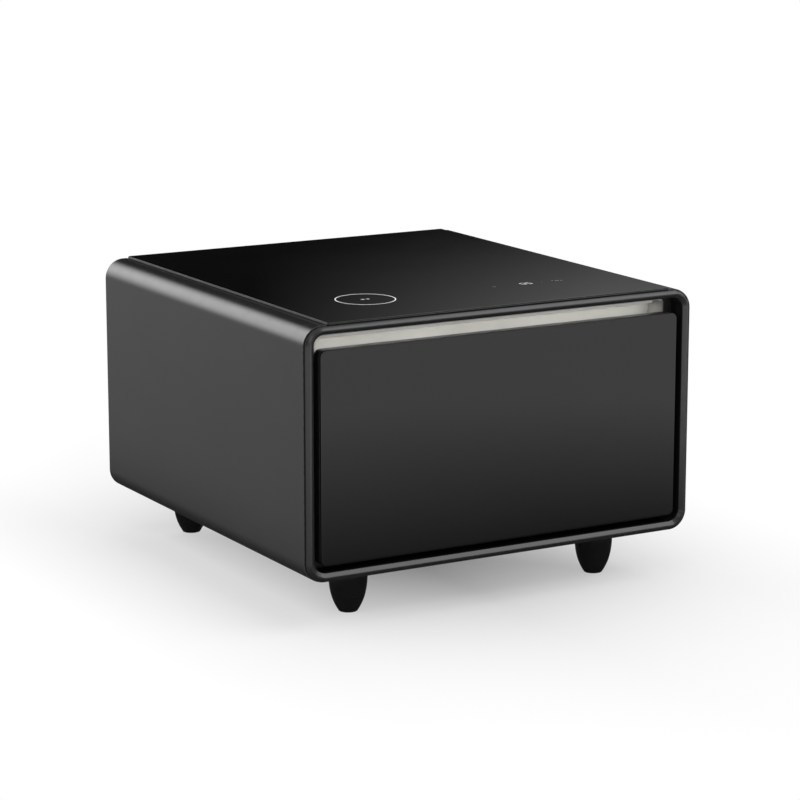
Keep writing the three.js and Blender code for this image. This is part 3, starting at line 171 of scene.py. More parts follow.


# Seen by the eye the floor is lifted towards white and keeps the shadow, in the painted shape that the lift gives
# it. In gloss and through glass the floor glows at a level painted by place: painted shade close to the table and
# on the right, where no lamp stands, and a painted brighter band in front on the left
def makeFloor(values):
    reach = values["reach"]
    ground, tree = makePanel("studioFloor", [(-reach, -reach, 0), (reach, -reach, 0), (reach, reach, 0),
                                             (-reach, reach, 0)])
    shader = tree.nodes["Principled BSDF"]
    shader.inputs["Base Color"].default_value = (values["tone"],) * 3 + (1.0,)
    shader.inputs["Roughness"].default_value = values["rough"]
    shader.inputs["Specular IOR Level"].default_value = values["shine"]
    place = axesOf(tree, placeOf(tree))
    beyond, within = [], []
    for axis, half in zip("XY", values["footprint"]):
        away = combine(tree, "SUBTRACT", combine(tree, "ABSOLUTE", place[axis]), half)
        beyond.append(combine(tree, "MAXIMUM", away, 0.0))
        within.append(combine(tree, "MAXIMUM", combine(tree, "MULTIPLY", away, -1.0), 0.0))
    lifted = floorLift(tree, lift, place, beyond, combine(tree, "MINIMUM", *within))
    seen, mirrored = sortRays(tree)
    share = combine(tree, "MAXIMUM", combine(tree, "MULTIPLY", seen, lifted), mirrored)
    level = combine(tree, "ADD", combine(tree, "MULTIPLY", mirrored, floorGloss(tree, gloss, place, beyond)),
                    combine(tree, "SUBTRACT", 1.0, mirrored))
    white = addNode(tree, "ShaderNodeEmission", Strength=level)
    mixed = addNode(tree, "ShaderNodeMixShader")
    for socket, source in zip(mixed.inputs, (share, shader.outputs[0], white.outputs[0])):
        feed(tree, socket, source)
    feed(tree, tree.nodes["Material Output"].inputs["Surface"], mixed.outputs[0])


# The dome gives even light, and the eye sees it white. In gloss and through glass it is white in the low sweep
# just above the floor, dark above that and brighter overhead, as in a studio with its walls flagged off
dome = {"even": 0.88, "overhead": (0.35, 0.9, 0.008, 0.55), "sweepTop": 0.02}


def makeDome(values):
    world = bpy.data.worlds.new("studioDome")
    bpy.context.scene.world = world
    world.use_nodes = True
    tree = world.node_tree
    rise = axesOf(tree, placeOf(tree, "Generated"))["Z"]
    overhead = remap(tree, rise, *values["overhead"], "SMOOTHSTEP")
    sweep = combine(tree, "LESS_THAN", rise, values["sweepTop"])
    seen, mirrored = sortRays(tree)
    level = blend(tree, mirrored, values["even"], combine(tree, "MAXIMUM", overhead, sweep))
    back = tree.nodes["Background"].inputs
    back["Color"].default_value = (1.0, 1.0, 1.0, 1.0)
    feed(tree, back["Strength"], combine(tree, "MAXIMUM", level, seen))


# A soft panel: its middle, the point it faces, its width and height, and its power
lamp = {"place": (2.0, -1.95, 3.2), "aim": (0.0, -0.3, 0.2), "size": (2.6, 2.2), "power": 46.0}


def makeLamp(values):
    data = bpy.data.lights.new("frontRight", "AREA")
    data.shape = "RECTANGLE"
    data.size, data.size_y = values["size"]
    data.energy = values["power"]
    holder = bpy.data.objects.new("frontRight", data)
    holder.location = values["place"]
    away = holder.location - Vector(values["aim"])
    holder.rotation_euler = away.to_track_quat("Z", "Y").to_euler()
    holder.visible_camera = False
    bpy.context.scene.collection.objects.link(holder)


# Cards stand round the table between two places and show in gloss alone. Each one's light grows from its base to
# its level along one axis, and from its foot's share to all of it with height
cards = {
    "cardLeft": {"start": (-3.6, 3.0), "end": (1.3, 3.0), "low": 0.0, "high": 3.0, "base": 0.008, "level": 3.75,
                 "foot": 0.14, "axis": "X", "across": (0.25, -1.15), "up": (0.1, 1.45)},
    "cardRight": {"start": (0.9, 2.6), "end": (5.0, 2.6), "low": 0.0, "high": 3.2, "base": 0.007, "level": 0.455,
                  "foot": 0.0, "axis": "X", "across": (1.1, 2.1), "up": (0.82, 1.30), "kind": "LINEAR"},
    "cardSide": {"start": (3.4, -1.9), "end": (3.4, -0.1), "low": 0.6, "high": 3.0, "base": 0.0, "level": 1.7,
                 "foot": 0.3, "axis": "Y", "across": (-0.1, -0.5), "up": (0.6, 1.8)},
    "cardFront": {"start": (-5.0, -4.2), "end": (-1.2, -4.2), "low": 0.6, "high": 5.0, "base": 0.0, "level": 1.7,
                  "foot": 0.3, "axis": "X", "across": (-1.2, -3.0), "up": (0.6, 2.6)},
}


def makeCard(name, values):
    start, end, low, high = (values[key] for key in ("start", "end", "low", "high"))
    panel, tree = makePanel(name, [(*start, low), (*end, low), (*end, high), (*start, high)])
    tree.nodes.remove(tree.nodes["Principled BSDF"])
    place = axesOf(tree, placeOf(tree))
    kind = values.get("kind", "SMOOTHSTEP")
    across = remap(tree, place[values["axis"]], *values["across"], 0.0, values["level"], kind)
    up = remap(tree, place["Z"], *values["up"], values["foot"], 1.0, kind)
    level = combine(tree, "ADD", combine(tree, "MULTIPLY", across, up), values["base"])
    glow = addNode(tree, "ShaderNodeEmission", Strength=level)
    feed(tree, tree.nodes["Material Output"].inputs["Surface"], glow.outputs[0])
    panel.visible_camera = False
    panel.visible_diffuse = False
    panel.visible_shadow = False


makeCamera(camera)
makeFloor(floor)
makeDome(dome)
for cardName, cardValues in cards.items():
    makeCard(cardName, cardValues)
makeLamp(lamp)
bpy.context.scene.view_settings.view_transform = "Standard"
print("camera, floor and lamps made")


# Effects that several finishes share

def newGroup(name, inputs, outputs):
    group = bpy.data.node_groups.new(name, "ShaderNodeTree")
    for label, kind, value in inputs:
        socket = group.interface.new_socket(name=label, in_out="INPUT", socket_type=kind)
        socket.default_value = value
    for label, kind in outputs:
        group.interface.new_socket(name=label, in_out="OUTPUT", socket_type=kind)
    return group, group.nodes.new("NodeGroupInput").outputs, group.nodes.new("NodeGroupOutput").inputs


grain = {"coarse": 0.04, "coarseShare": 0.25, "spread": (0.3, 0.7)}


# Grain: fine noise over coarse noise gives the height, and the coarse one moves the roughness. Pores are round
# dents where a cell's middle is near
def makeGrainGroup(values):
    group, start, end = newGroup(
        "surfaceGrain",
        [("Vector", "NodeSocketVector", (0, 0, 0)), ("Scale", "NodeSocketFloat", 900.0),
         ("Rough Low", "NodeSocketFloat", 0.3), ("Rough High", "NodeSocketFloat", 0.4),
         ("Pores", "NodeSocketFloat", 0.0)],
        [("Height", "NodeSocketFloat"), ("Roughness", "NodeSocketFloat")])
    vector, scale = start["Vector"], start["Scale"]
    fine = addNode(group, "ShaderNodeTexNoise", Vector=vector, Scale=scale, Detail=2.0, Roughness=0.6)
    coarse = addNode(group, "ShaderNodeTexNoise", Vector=vector, Detail=4.0, Roughness=0.6,
                     Scale=combine(group, "MULTIPLY", scale, values["coarse"])).outputs["Fac"]
    cells = addNode(group, "ShaderNodeTexVoronoi", Vector=vector, Scale=scale)
    height = combine(group, "MULTIPLY_ADD", coarse, values["coarseShare"], fine.outputs["Fac"])
    height = combine(group, "MULTIPLY_ADD", cells.outputs["Distance"], start["Pores"], height)
    feed(group, end["Height"], height)
    feed(group, end["Roughness"], remap(group, coarse, *values["spread"], start["Rough Low"], start["Rough High"]))
    return group


drift = {"spread": (0.32, 0.68), "cells": 90.0, "chips": 260.0, "chipSpread": (0.42, 0.62)}


# Tone: a slow noise moves the colour between two tones, or cells do, each with a share of its own as in a
# zinc coat, and worn rims take a third tone
def makeToneGroup(values):
    group, start, end = newGroup(
        "toneDrift",
        [("Vector", "NodeSocketVector", (0, 0, 0)), ("Scale", "NodeSocketFloat", 9.0),
         ("Tone A", "NodeSocketColor", (0.1, 0.1, 0.1, 1)), ("Tone B", "NodeSocketColor", (0.1, 0.1, 0.1, 1)),
         ("Rim Tone", "NodeSocketColor", (0.2, 0.2, 0.2, 1)), ("Rim", "NodeSocketFloat", 0.0),
         ("Cells", "NodeSocketFloat", 0.0)],
        [("Color", "NodeSocketColor")])
    vector = start["Vector"]
    cloud = addNode(group, "ShaderNodeTexNoise", Vector=vector, Scale=start["Scale"], Detail=5.0, Roughness=0.55)
    slow = remap(group, cloud.outputs["Fac"], *values["spread"], 0.0, 1.0)
    cells = addNode(group, "ShaderNodeTexVoronoi", Vector=vector, Scale=values["cells"])
    ownShare = addNode(group, "ShaderNodeSeparateColor", Color=cells.outputs["Color"]).outputs[0]
    tone = blend(group, blend(group, start["Cells"], slow, ownShare), start["Tone A"], start["Tone B"], "RGBA")
    chips = addNode(group, "ShaderNodeTexNoise", Vector=vector, Scale=values["chips"], Detail=3.0)
    chipped = remap(group, chips.outputs["Fac"], *values["chipSpread"], 0.0, 1.0)
    worn = combine(group, "MULTIPLY", chipped, start["Rim"])
    feed(group, end["Color"], blend(group, worn, tone, start["Rim Tone"], "RGBA"))
    return group


grainGroup = makeGrainGroup(grain)
toneGroup = makeToneGroup(drift)

# what a finish takes where it doesn't say; the second tone is a share of the first
plain = {"patch": 9.0, "cells": 0.0, "grain": 900.0, "pores": 0.0, "bump": 0.2, "depth": 0.00005,
         "stretch": (1, 1, 1), "secondTone": 0.86, "shader": {}}


# A finish: two close tones, grain that moves roughness and height, and the shader's plain values
def makeFinish(name, given):
    values = {**plain, **given}
    material = bpy.data.materials.new(name)
    material.use_nodes = True
    tree = material.node_tree
    shader = tree.nodes["Principled BSDF"].inputs
    place = placeOf(tree)
    vector = addNode(tree, "ShaderNodeMapping", Vector=place, Scale=values["stretch"]).outputs["Vector"]
    second = values.get("toneB", [part * values["secondTone"] for part in values["tone"]])
    tone = addNode(tree, "ShaderNodeGroup", **{
        "node_tree": toneGroup, "Vector": vector, "Scale": values["patch"], "Cells": values["cells"],
        "Tone A": (*values["tone"], 1.0), "Tone B": (*second, 1.0),
        "Rim Tone": (*values.get("rimTone", values["tone"]), 1.0),
        "Rim": addNode(tree, "ShaderNodeAttribute", attribute_name="rim").outputs["Fac"]})
    surface = addNode(tree, "ShaderNodeGroup", **{
        "node_tree": grainGroup, "Vector": vector, "Scale": values["grain"], "Pores": values["pores"],
        "Rough Low": values["rough"][0], "Rough High": values["rough"][1]}).outputs
    bump = addNode(tree, "ShaderNodeBump", Strength=values["bump"], Distance=values["depth"],
                   Height=surface["Height"])
    sources = {"Base Color": tone.outputs["Color"], "Roughness": surface["Roughness"],
               "Normal": bump.outputs["Normal"], **values["shader"]}
    for label, value in sources.items():
        feed(tree, shader[label], value)
    if "glow" in values:
        feed(tree, shader["Emission Color"], makeGlow(tree, values["glow"], place))
    return material


# A glow on the faces that look down, faded out at both ends, and a faint one on the faces that look forward
def makeGlow(tree, values, place):
    facing = axesOf(tree, addNode(tree, "ShaderNodeNewGeometry").outputs["True Normal"])
    aside = combine(tree, "ABSOLUTE", axesOf(tree, place)["X"])
    down = combine(tree, "MULTIPLY", remap(tree, facing["Z"], *values["down"]),
                   remap(tree, aside, *values["ends"]))
    level = combine(tree, "MAXIMUM", down, remap(tree, facing["Y"], *values["front"]))
    blue = combine(tree, "MULTIPLY", level, values["blue"])
    return addNode(tree, "ShaderNodeCombineColor", Red=level, Green=level, Blue=blue).outputs[0]


finishes = {
    "cabinetPaint": {"tone": (0.020, 0.020, 0.0215), "rough": (0.20, 0.26), "grain": 1500, "bump": 0.25,
                     "rimTone": (0.06, 0.06, 0.065)},
    "bezelPaint": {"tone": (0.020, 0.020, 0.0215), "rough": (0.20, 0.26), "grain": 1500,
                   "rimTone": (0.05, 0.05, 0.055)},
    "topGlass": {"tone": (0.0015, 0.0015, 0.0017), "rough": (0.06, 0.10), "grain": 300, "bump": 0.01},
    "doorGlass": {"tone": (0.0025, 0.0025, 0.0028), "rough": (0.06, 0.10), "grain": 300, "bump": 0.01},
    # a ground glass edge in a lighter grey, partly a painted glint along the glass's top slope and ledge
    "glassRimGlint": {"tone": (0.048, 0.048, 0.050), "rough": (0.26, 0.34), "grain": 2600, "bump": 0.1},
    "groundEdge": {"tone": (0.008, 0.008, 0.009), "rough": (0.62, 0.72), "grain": 2600,
                   "shader": {"Specular IOR Level": 0.12}},
    "blackMoulding": {"tone": (0.010, 0.010, 0.011), "rough": (0.42, 0.52), "grain": 1800, "bump": 0.3},
    "footMoulding": {"tone": (0.010, 0.010, 0.011), "rough": (0.20, 0.28), "grain": 700, "bump": 0.08},
    "covePlastic": {"tone": (0.575, 0.565, 0.548), "rough": (0.42, 0.50), "grain": 1600, "bump": 0.15},
    # the cove's plastic made darker for the recess's end walls: painted shade
    "coveEndShade": {"tone": (0.33, 0.325, 0.315), "rough": (0.42, 0.50), "grain": 1600, "bump": 0.15},
    "lampCover": {"tone": (0.82, 0.81, 0.79), "rough": (0.35, 0.42), "grain": 1200, "bump": 0.1,
                  "glow": {"down": (-0.985, -0.999, 0.0, 1.0), "ends": (0.262, 0.275, 1.0, 0.0),
                           "front": (-0.2, -0.8, 0.0, 0.013), "blue": 0.95},
                  "shader": {"Emission Strength": 6.0}},
    "linerPlastic": {"tone": (0.72, 0.73, 0.72), "rough": (0.32, 0.42), "grain": 1400, "bump": 0.12},
    "dividerPlastic": {"tone": (0.66, 0.68, 0.69), "rough": (0.22, 0.3), "grain": 1400, "bump": 0.1},
    "gasketRubber": {"tone": (0.012, 0.012, 0.012), "rough": (0.6, 0.75), "grain": 2200, "bump": 0.4},
    "rubberMount": {"tone": (0.010, 0.010, 0.010), "rough": (0.7, 0.85), "grain": 2200, "bump": 0.4},
    "rolledSteel": {"tone": (0.58, 0.59, 0.60), "toneB": (0.48, 0.49, 0.50), "rough": (0.34, 0.48), "patch": 30,
                    "stretch": (1, 0.05, 1), "shader": {"Metallic": 0.65}},
    "zincSheet": {"tone": (0.50, 0.52, 0.54), "toneB": (0.36, 0.38, 0.40), "patch": 60, "cells": 0.7,
                  "rough": (0.36, 0.50), "grain": 700, "shader": {"Metallic": 0.65}},
    "screwSteel": {"tone": (0.20, 0.20, 0.21), "toneB": (0.14, 0.14, 0.15), "rough": (0.28, 0.36), "grain": 1600,
                   "shader": {"Metallic": 0.7}},
    "aluminium": {"tone": (0.62, 0.63, 0.64), "toneB": (0.55, 0.56, 0.57), "patch": 40, "rough": (0.32, 0.44),
                  "stretch": (0.06, 1, 1), "shader": {"Metallic": 0.7}},
    "copper": {"tone": (0.62, 0.30, 0.18), "toneB": (0.44, 0.20, 0.13), "patch": 40, "rough": (0.24, 0.42),
               "grain": 800, "bump": 0.15, "shader": {"Metallic": 0.85}},
    "compressorPaint": {"tone": (0.008, 0.008, 0.009), "rough": (0.26, 0.36), "bump": 0.3},
    "circuitBoard": {"tone": (0.012, 0.10, 0.045), "toneB": (0.010, 0.07, 0.03), "rough": (0.3, 0.42)},
    "foam": {"tone": (0.70, 0.60, 0.34), "toneB": (0.62, 0.52, 0.28), "rough": (0.85, 0.95), "grain": 700,
             "bump": 0.7, "depth": 0.0004, "pores": 0.9},
    "mark": {"tone": (0.75, 0.76, 0.76), "rough": (0.3, 0.35), "bump": 0.0,
             "shader": {"Emission Color": (1.0, 1.0, 1.0, 1.0), "Emission Strength": 0.6}},
    "digitMark": {"tone": (0.62, 0.63, 0.63), "rough": (0.3, 0.35), "bump": 0.0,
                  "shader": {"Emission Color": (1.0, 1.0, 1.0, 1.0), "Emission Strength": 0.55}},
    "keyMark": {"tone": (0.30, 0.30, 0.30), "rough": (0.3, 0.35), "bump": 0.0},
    "faintMark": {"tone": (0.16, 0.16, 0.16), "rough": (0.3, 0.35), "bump": 0.0},
}
materials = {name: makeFinish(name, values) for name, values in finishes.items()}
print("finishes made:", len(materials))


# Surfaces

# Points round a rectangle with round corners: each corner is a quarter circle about its own centre
def roundLoop(halfWidth, low, high, radius, corner):
    angle = np.linspace(0.0, quarterTurn, corner + 1)[None, :] + (np.arange(4)[:, None] - 1) * quarterTurn
    side = np.array([1, 1, -1, -1])[:, None]
    level = np.array([low + radius, high - radius, high - radius, low + radius])[:, None]
    across = side * (halfWidth - radius) + radius * np.cos(angle)
    up = level + radius * np.sin(angle)
    return np.stack([across.ravel(), up.ravel()], axis=1)


leastRadius = 0.05


# The same loop moved inwards by an amount; its corners stay round
def insetLoop(loop, inset):
    return {**loop, "halfWidth": loop["halfWidth"] - inset, "low": loop["low"] + inset,
            "high": loop["high"] - inset, "radius": max(loop["radius"] - inset, leastRadius)}


# A loop part of the way from one to the other: each size is the inner one plus a share of the difference
def mixLoops(inner, outer, share):
    mixed = {key: inner[key] + (outer[key] - inner[key]) * share for key in inner}
    return {**mixed, "corner": inner["corner"]}


frontY = -309.0  # the ridge of the front bezel, from which depths are counted


# Points across and up, stood up facing the front at one depth
def upright(flat, depth):
    return np.stack([flat[:, 0], np.full(len(flat), frontY + depth), flat[:, 1]], axis=1)


def standing(loop, depth):
    return upright(roundLoop(**loop), depth)


# Upright loops at pairs of inset and depth
def standingRings(loop, steps):
    return [standing(insetLoop(loop, inset), depth) for inset, depth in steps]


# Flat loops at pairs of inset and level
def lyingRings(loop, steps):
    flats = [(roundLoop(**insetLoop(loop, inset)), level) for inset, level in steps]
    return [np.column_stack([flat, np.full(len(flat), level)]) for flat, level in flats]


# Pairs of inset and rise round a quarter circle, which rounds an edge off or leads from a flat face to a wall
def cornerArc(radius, steps=6):
    angle = np.linspace(0.0, quarterTurn, steps + 1)
    return np.stack([radius * (1 - np.sin(angle)), radius * (1 - np.cos(angle))], axis=1)


# The same quarter circle on the other side of the corner: it starts outside the wall's line and ends on it
def hollowArc(radius):
    return cornerArc(radius)[::-1, ::-1] * [-1, 1]


def addPiece(mesh, finish, body, replaced=(), sharp=35.0):
    work = bmesh.new()
    work.from_mesh(mesh)
    bmesh.ops.recalc_face_normals(work, faces=work.faces)
    work.to_mesh(mesh)
    work.free()
    mesh.polygons.foreach_set("use_smooth", np.ones(len(mesh.polygons), dtype=bool))
    mesh.set_sharp_from_angle(angle=math.radians(sharp))
    mesh.materials.append(materials[finish])
    piece = bpy.data.objects.new(mesh.name, mesh)
    bpy.context.scene.collection.objects.link(piece)
    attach(piece, body)
    if replaced:
        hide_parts(*replaced)


# A skin through closed rings, or through several copies of them: each point joins the same point of the next ring.
# The last ring joins the first, or a flat face closes each end. Rims gives each ring's share of edge wear
def skinMesh(name, rings, joined=False, rims=None):
    grid = np.asarray(rings, dtype=float) * mm
    count, around = grid.shape[-3:-1]
    ids = np.arange(grid.size // 3).reshape(-1, count, around)
    first, second = (ids, np.roll(ids, -1, axis=1)) if joined else (ids[:, :-1], ids[:, 1:])
    quads = np.stack([first, np.roll(first, -1, axis=2), np.roll(second, -1, axis=2), second], axis=-1)
    faces = quads.reshape(-1, 4).tolist()
    if not joined:
        faces += ids[:, 0].tolist() + ids[:, -1].tolist()
    mesh = bpy.data.meshes.new(name)
    mesh.from_pydata(grid.reshape(-1, 3).tolist(), [], faces)
    if rims is not None:
        worn = mesh.attributes.new("rim", "FLOAT", "POINT")
        worn.data.foreach_set("value", np.repeat(np.asarray(rims, dtype=np.float32), around))
    return mesh


# The faces between two rings of a skin get a finish of their own
def finishRings(mesh, around, first, last, finish):
    mesh.materials.append(materials[finish])
    index = np.zeros(len(mesh.polygons), dtype=np.int32)
    mesh.polygons.foreach_get("material_index", index)
    index[first * around:last * around] = len(mesh.materials) - 1
    mesh.polygons.foreach_set("material_index", index)


# A profile of radius and height turned round an upright axis: every point runs round a circle
def turnedRings(profile, centre, sides):
    angle = np.linspace(0.0, 4 * quarterTurn, sides, endpoint=False)[None, :]
    radius, height = np.asarray(profile, dtype=float).T[:, :, None]
    x = centre[0] + radius * np.cos(angle)
    y = centre[1] + radius * np.sin(angle)
    return np.stack([x, y, height + 0 * angle], axis=-1)


# Painted sheet

# the support is a ring close behind an edge, which keeps the flat face's shading flat
sheet = {"halfWidth": 300.0, "low": 67.0, "high": 406.0, "radius": 27.7, "wall": 1.5, "front": 8.0, "back": 618.0,
         "seatHalf": 265.5, "deck": 404.5, "edge": 0.5, "edgeSteps": 4, "corner": 24, "seatEdge": 0.35,
         "support": 1.5, "frontWear": 1.0, "wear": 0.6}


# The sheet's outline: a quarter circle at each corner, and in its top a shallow seat with softened brinks
def sheetOutline(values, inset):
    half, low, high = values["halfWidth"] - inset, values["low"] + inset, values["high"] - inset
    seat, deck = values["seatHalf"] + inset, values["deck"] - inset
    arc = cornerArc(values["radius"] - inset, values["corner"])
    brink = cornerArc(values["seatEdge"], values["edgeSteps"]) * [1, -1] + [seat, high]
    right = np.concatenate([arc * [-1, 1] + [half, low], arc[:, ::-1] * -1 + [half, high], brink, [[seat, deck]]])
    return np.concatenate([right, right[::-1] * [-1, 1]])


# The outline is carried along the depth on its outer face, round both ends and back on its inner face
def makeSheet(values):
    front, back, support = values["front"], values["back"], values["support"]
    arc = cornerArc(values["edge"], values["edgeSteps"])
    steps = [(inset, front + depth, values["frontWear"] if inset > 0 else values["wear"]) for inset, depth in arc]
    steps += [(0.0, front + support, 0.0), (0.0, back - support, 0.0)]
    steps += [(inset, back - depth, values["wear"]) for inset, depth in arc[::-1]]
    steps += [(values["wall"], depth, 0.0) for depth in (back, back - support, front + support, front)]
    rings = [upright(sheetOutline(values, inset), depth) for inset, depth, wear in steps]
    mesh = skinMesh("cabinetSheet", rings, joined=True, rims=[wear for inset, depth, wear in steps])
    addPiece(mesh, "cabinetPaint", "cabinet", ["outer_wrap"])


makeSheet(sheet)


# Front bezel

bezel = {"rise": 4.4, "softness": 0.14, "bulge": 0.35, "lip": 0.6, "gather": 1.5, "steps": 28, "collarWall": 2.0,
         "collarDepth": 30.7, "spigot": 9.0, "mouth": 1.0, "wear": 0.5, "wornShare": 0.12,
         "inner": {"halfWidth": 286.7, "low": 79.5, "high": 394.5, "radius": 16.0, "corner": 24},
         "outer": {"halfWidth": 298.5, "low": 67.7, "high": 405.0, "radius": 26.2, "corner": 24},
         "plug": {"halfWidth": 295.5, "low": 71.5, "high": 401.5, "radius": 23.2, "corner": 24},
         "band": {"halfWidth": 298.2, "low": 68.8, "high": 402.7, "radius": 26.2, "corner": 24}, "bandFront": 6.5,
         "bandWall": 2.4}


# The bead: two slopes run back from a soft ridge, a hyperbola between the inner and outer loops. The outer slope
# has a share of a parabola, so that it steepens outwards
def makeBezel(values):
    away = np.linspace(-1.0, 1.0, values["steps"] + 1)
    shares = (1 + np.sign(away) * np.abs(away) ** values["gather"]) / 2
    softness = values["softness"]
    fall = (np.hypot(2 * shares - 1, softness) - softness) / (math.hypot(1, softness) - softness)
    bulge = np.where(away > 0, values["bulge"], 0.0)
    depths = values["rise"] * (fall * (1 - bulge) + (2 * shares - 1) ** 2 * bulge)
    inner, outer, plug, band = (values[key] for key in ("inner", "outer", "plug", "band"))
    rings = [standing(mixLoops(inner, outer, share), depth) for share, depth in zip(shares, depths)]
    rims = [values["wear"] if abs(value) < values["wornShare"] else 0.0 for value in away]
    back = values["rise"] + values["lip"]
    end = back + values["spigot"]
    collar = insetLoop(inner, -values["collarWall"])
    rest = [(outer, back), (plug, back), (plug, end), (collar, end), (collar, values["collarDepth"]),
            (inner, values["collarDepth"]), (inner, values["rise"] + values["mouth"])]
    rings += [standing(loop, depth) for loop, depth in rest]
    mesh = skinMesh("bezelBead", rings, joined=True, rims=rims + [0.0] * len(rest))
    addPiece(mesh, "bezelPaint", "cabinet", ["front_bezel"], sharp=50.0)
    finishRings(mesh, len(rings[0]), len(rings) - 3, len(rings) - 1, "groundEdge")  # the collar's end and inside
    inside = insetLoop(band, values["bandWall"])
    rings = [standing(loop, depth) for loop, depth in ((band, values["bandFront"]), (band, end), (inside, end),
                                                       (inside, values["bandFront"]))]
    addPiece(skinMesh("seamBand", rings, joined=True), "gasketRubber", "cabinet")


makeBezel(bezel)


# Glass top

# wear is each ring's, from the top's inner ring outwards and down. Edges says between which rings a finish of its
# own lies. The top slope and the ledge take a lighter grey: ground glass with a painted glint
topGlass = {"loop": {"halfWidth": 265.0, "low": frontY + 5.8, "high": frontY + 617.0, "radius": 3.0, "corner": 10},
            "top": 408.76, "bottom": 404.8, "chamfer": 0.3, "support": 2.5, "ledge": 407.3, "step": 0.5,
            "wear": [0, 0.4, 0.4, 0, 0.4, 0.4, 0, 0, 0],
            "edges": [(1, 7, "glassRimGlint"), (2, 3, "groundEdge"), (5, 8, "groundEdge")]}


# A plate with ground edges: a narrow slope runs round its top, round a ledge in its side and round its bottom
def makeTopGlass(values):
    cut, step, support = values["chamfer"], values["step"], values["support"]
    top, ledge, bottom = values["top"], values["ledge"], values["bottom"]
    steps = [(step + cut + support, top), (step + cut, top), (step, top - cut), (step, ledge), (cut, ledge),
             (0.0, ledge - cut), (0.0, bottom + cut), (cut, bottom), (cut + support, bottom)]
    rings = lyingRings(values["loop"], steps)
    mesh = skinMesh("glassPanel", rings, rims=values["wear"])
    addPiece(mesh, "topGlass", "cabinet", ["glass_top"], sharp=25.0)
    for first, last, finish in values["edges"]:
        finishRings(mesh, len(rings[0]), first, last, finish)


makeTopGlass(topGlass)


# Marks on the glass

markRow = frontY + 131.5
markLevels = (408.74, 408.80)
ringSides = 96

# each digit lights some of seven bars: top, two upper sides, middle, two lower sides and bottom
digits = {"height": 10.4, "width": 6.2, "line": 0.9, "gap": 0.1, "places": [(108.3, "0"), (117.5, "5")],
          "lit": {"0": (0, 1, 2, 4, 5, 6), "5": (0, 1, 3, 5, 6)},
          "bars": [(0, 0.5, 0), (-0.5, 0.25, 1), (0.5, 0.25, 1), (0, 0, 0), (-0.5, -0.25, 1), (0.5, -0.25, 1),
                   (0, -0.5, 0)]}


def digitBars(values):
    bars = []
    for x, digit in values["places"]:
        for index in values["lit"][digit]:
            across, up, tall = values["bars"][index]
            half = (values["height"] / 4 if tall else values["width"] / 2) - values["gap"]
            bars.append((x + across * values["width"], markRow + up * values["height"], half, values["line"],
                         tall * quarterTurn))
    return bars


# a ring is given by its middle, radius and line, and a bar by its middle, half length, line and turn
marks = {
    "chargeRing": {"finish": "mark", "ring": (-138.2, frontY + 134.2, 40.4, 1.3)},
    "chargeMark": {"finish": "mark", "bars": [(-142.0, frontY + 134.2, 2.9, 2.4, -0.52),
                                              (-134.4, frontY + 134.2, 2.6, 2.3, -0.52)]},
    "displayDigits": {"finish": "digitMark", "bars": digitBars(digits)},
    "powerMark": {"finish": "faintMark", "ring": (61.8, markRow, 2.0, 1.1)},
    "degreeMark": {"finish": "faintMark", "ring": (139.5, markRow, 0.9, 0.5)},
    "stepMarks": {"finish": "keyMark", "bars": [(156.7, markRow + 1.5, 1.8, 1.6, 0.0),
                                                (168.8, markRow - 3.0, 2.2, 1.6, 0.0)]},
    "modeMark": {"finish": "keyMark", "ring": (163.0, markRow - 1.0, 2.2, 1.0)},
}


# A ring whose section is a thin rectangle: four circles, joined round
def ringMesh(name, x, y, radius, line):
    low, high = markLevels
    inner, outer = radius - line / 2, radius + line / 2
    profile = [(inner, low), (inner, high), (outer, high), (outer, low)]
    return skinMesh(name, turnedRings(profile, (x, y), ringSides), joined=True)


# Bars with pointed ends: a six-cornered outline about each middle, turned and given a thickness
def barMesh(name, bars):
    x, y, half, line, turn = np.array(bars, dtype=float).T[:, :, None]
    side, up = np.array([-1, -1, 1, 1, 1, -1]), np.array([0, 1, 1, 0, -1, -1])
    along, over = side * (half - np.abs(up) * line / 2), up * line / 2
    x = x + along * np.cos(turn) - over * np.sin(turn)
    y = y + along * np.sin(turn) + over * np.cos(turn)
    level = np.array(markLevels)[None, :, None]
    return skinMesh(name, np.stack(np.broadcast_arrays(x[:, None], y[:, None], level), axis=-1))


for markName, mark in marks.items():
    markMesh = ringMesh(markName, *mark["ring"]) if "ring" in mark else barMesh(markName, mark["bars"])
    addPiece(markMesh, mark["finish"], "cabinet")
print("cabinet skin, glass and marks made")


# Drawer front

door = {"loop": {"halfWidth": 276.7, "low": 88.7, "high": 373.4, "radius": 8.0, "corner": 12},
        "front": 3.5, "back": 7.5, "edge": 0.6, "rounding": 6, "support": 3.0, "sideSupport": 0.6, "wear": 0.3,
        "brightRings": 4}


# A plate whose rim is rounded off at the front and at the back. Its narrow sides are ground dull
def makeDoorGlass(values):
    front, back, edge, rounding = (values[key] for key in ("front", "back", "edge", "rounding"))
    arc = cornerArc(edge, rounding)
    side, inner = edge + values["sideSupport"], edge + values["support"]
    steps = np.concatenate([[[inner, front]], arc + [0.0, front], [[0.0, front + side], [0.0, back - side]],
                            arc[::-1] * [1, -1] + [0.0, back], [[inner, back]]])
    rings = standingRings(values["loop"], steps)
    rims = [values["wear"] if 0 < index <= rounding else 0.0 for index in range(len(rings))]
    mesh = skinMesh("doorPanel", rings, rims=rims)
    addPiece(mesh, "doorGlass", "drawer", ["drawer_glass"], sharp=40.0)
    finishRings(mesh, len(rings[0]), values["brightRings"], len(rings) - 1, "groundEdge")


makeDoorGlass(door)


# Lit recess

recess = {"loop": {"halfWidth": 271.0, "low": 355.0, "high": 388.0, "radius": 5.0, "corner": 8},
          "front": 31.0, "back": 65.0, "turn": 10.0, "wall": 2.0, "steps": 14, "endReach": 1.0}


# A shallow tub: its floor turns up into its back round a quarter circle
def tubRings(loop, back, radius, steps):
    return [standing({**loop, "low": loop["low"] + drop}, back - inset)
            for inset, drop in cornerArc(radius, steps)]
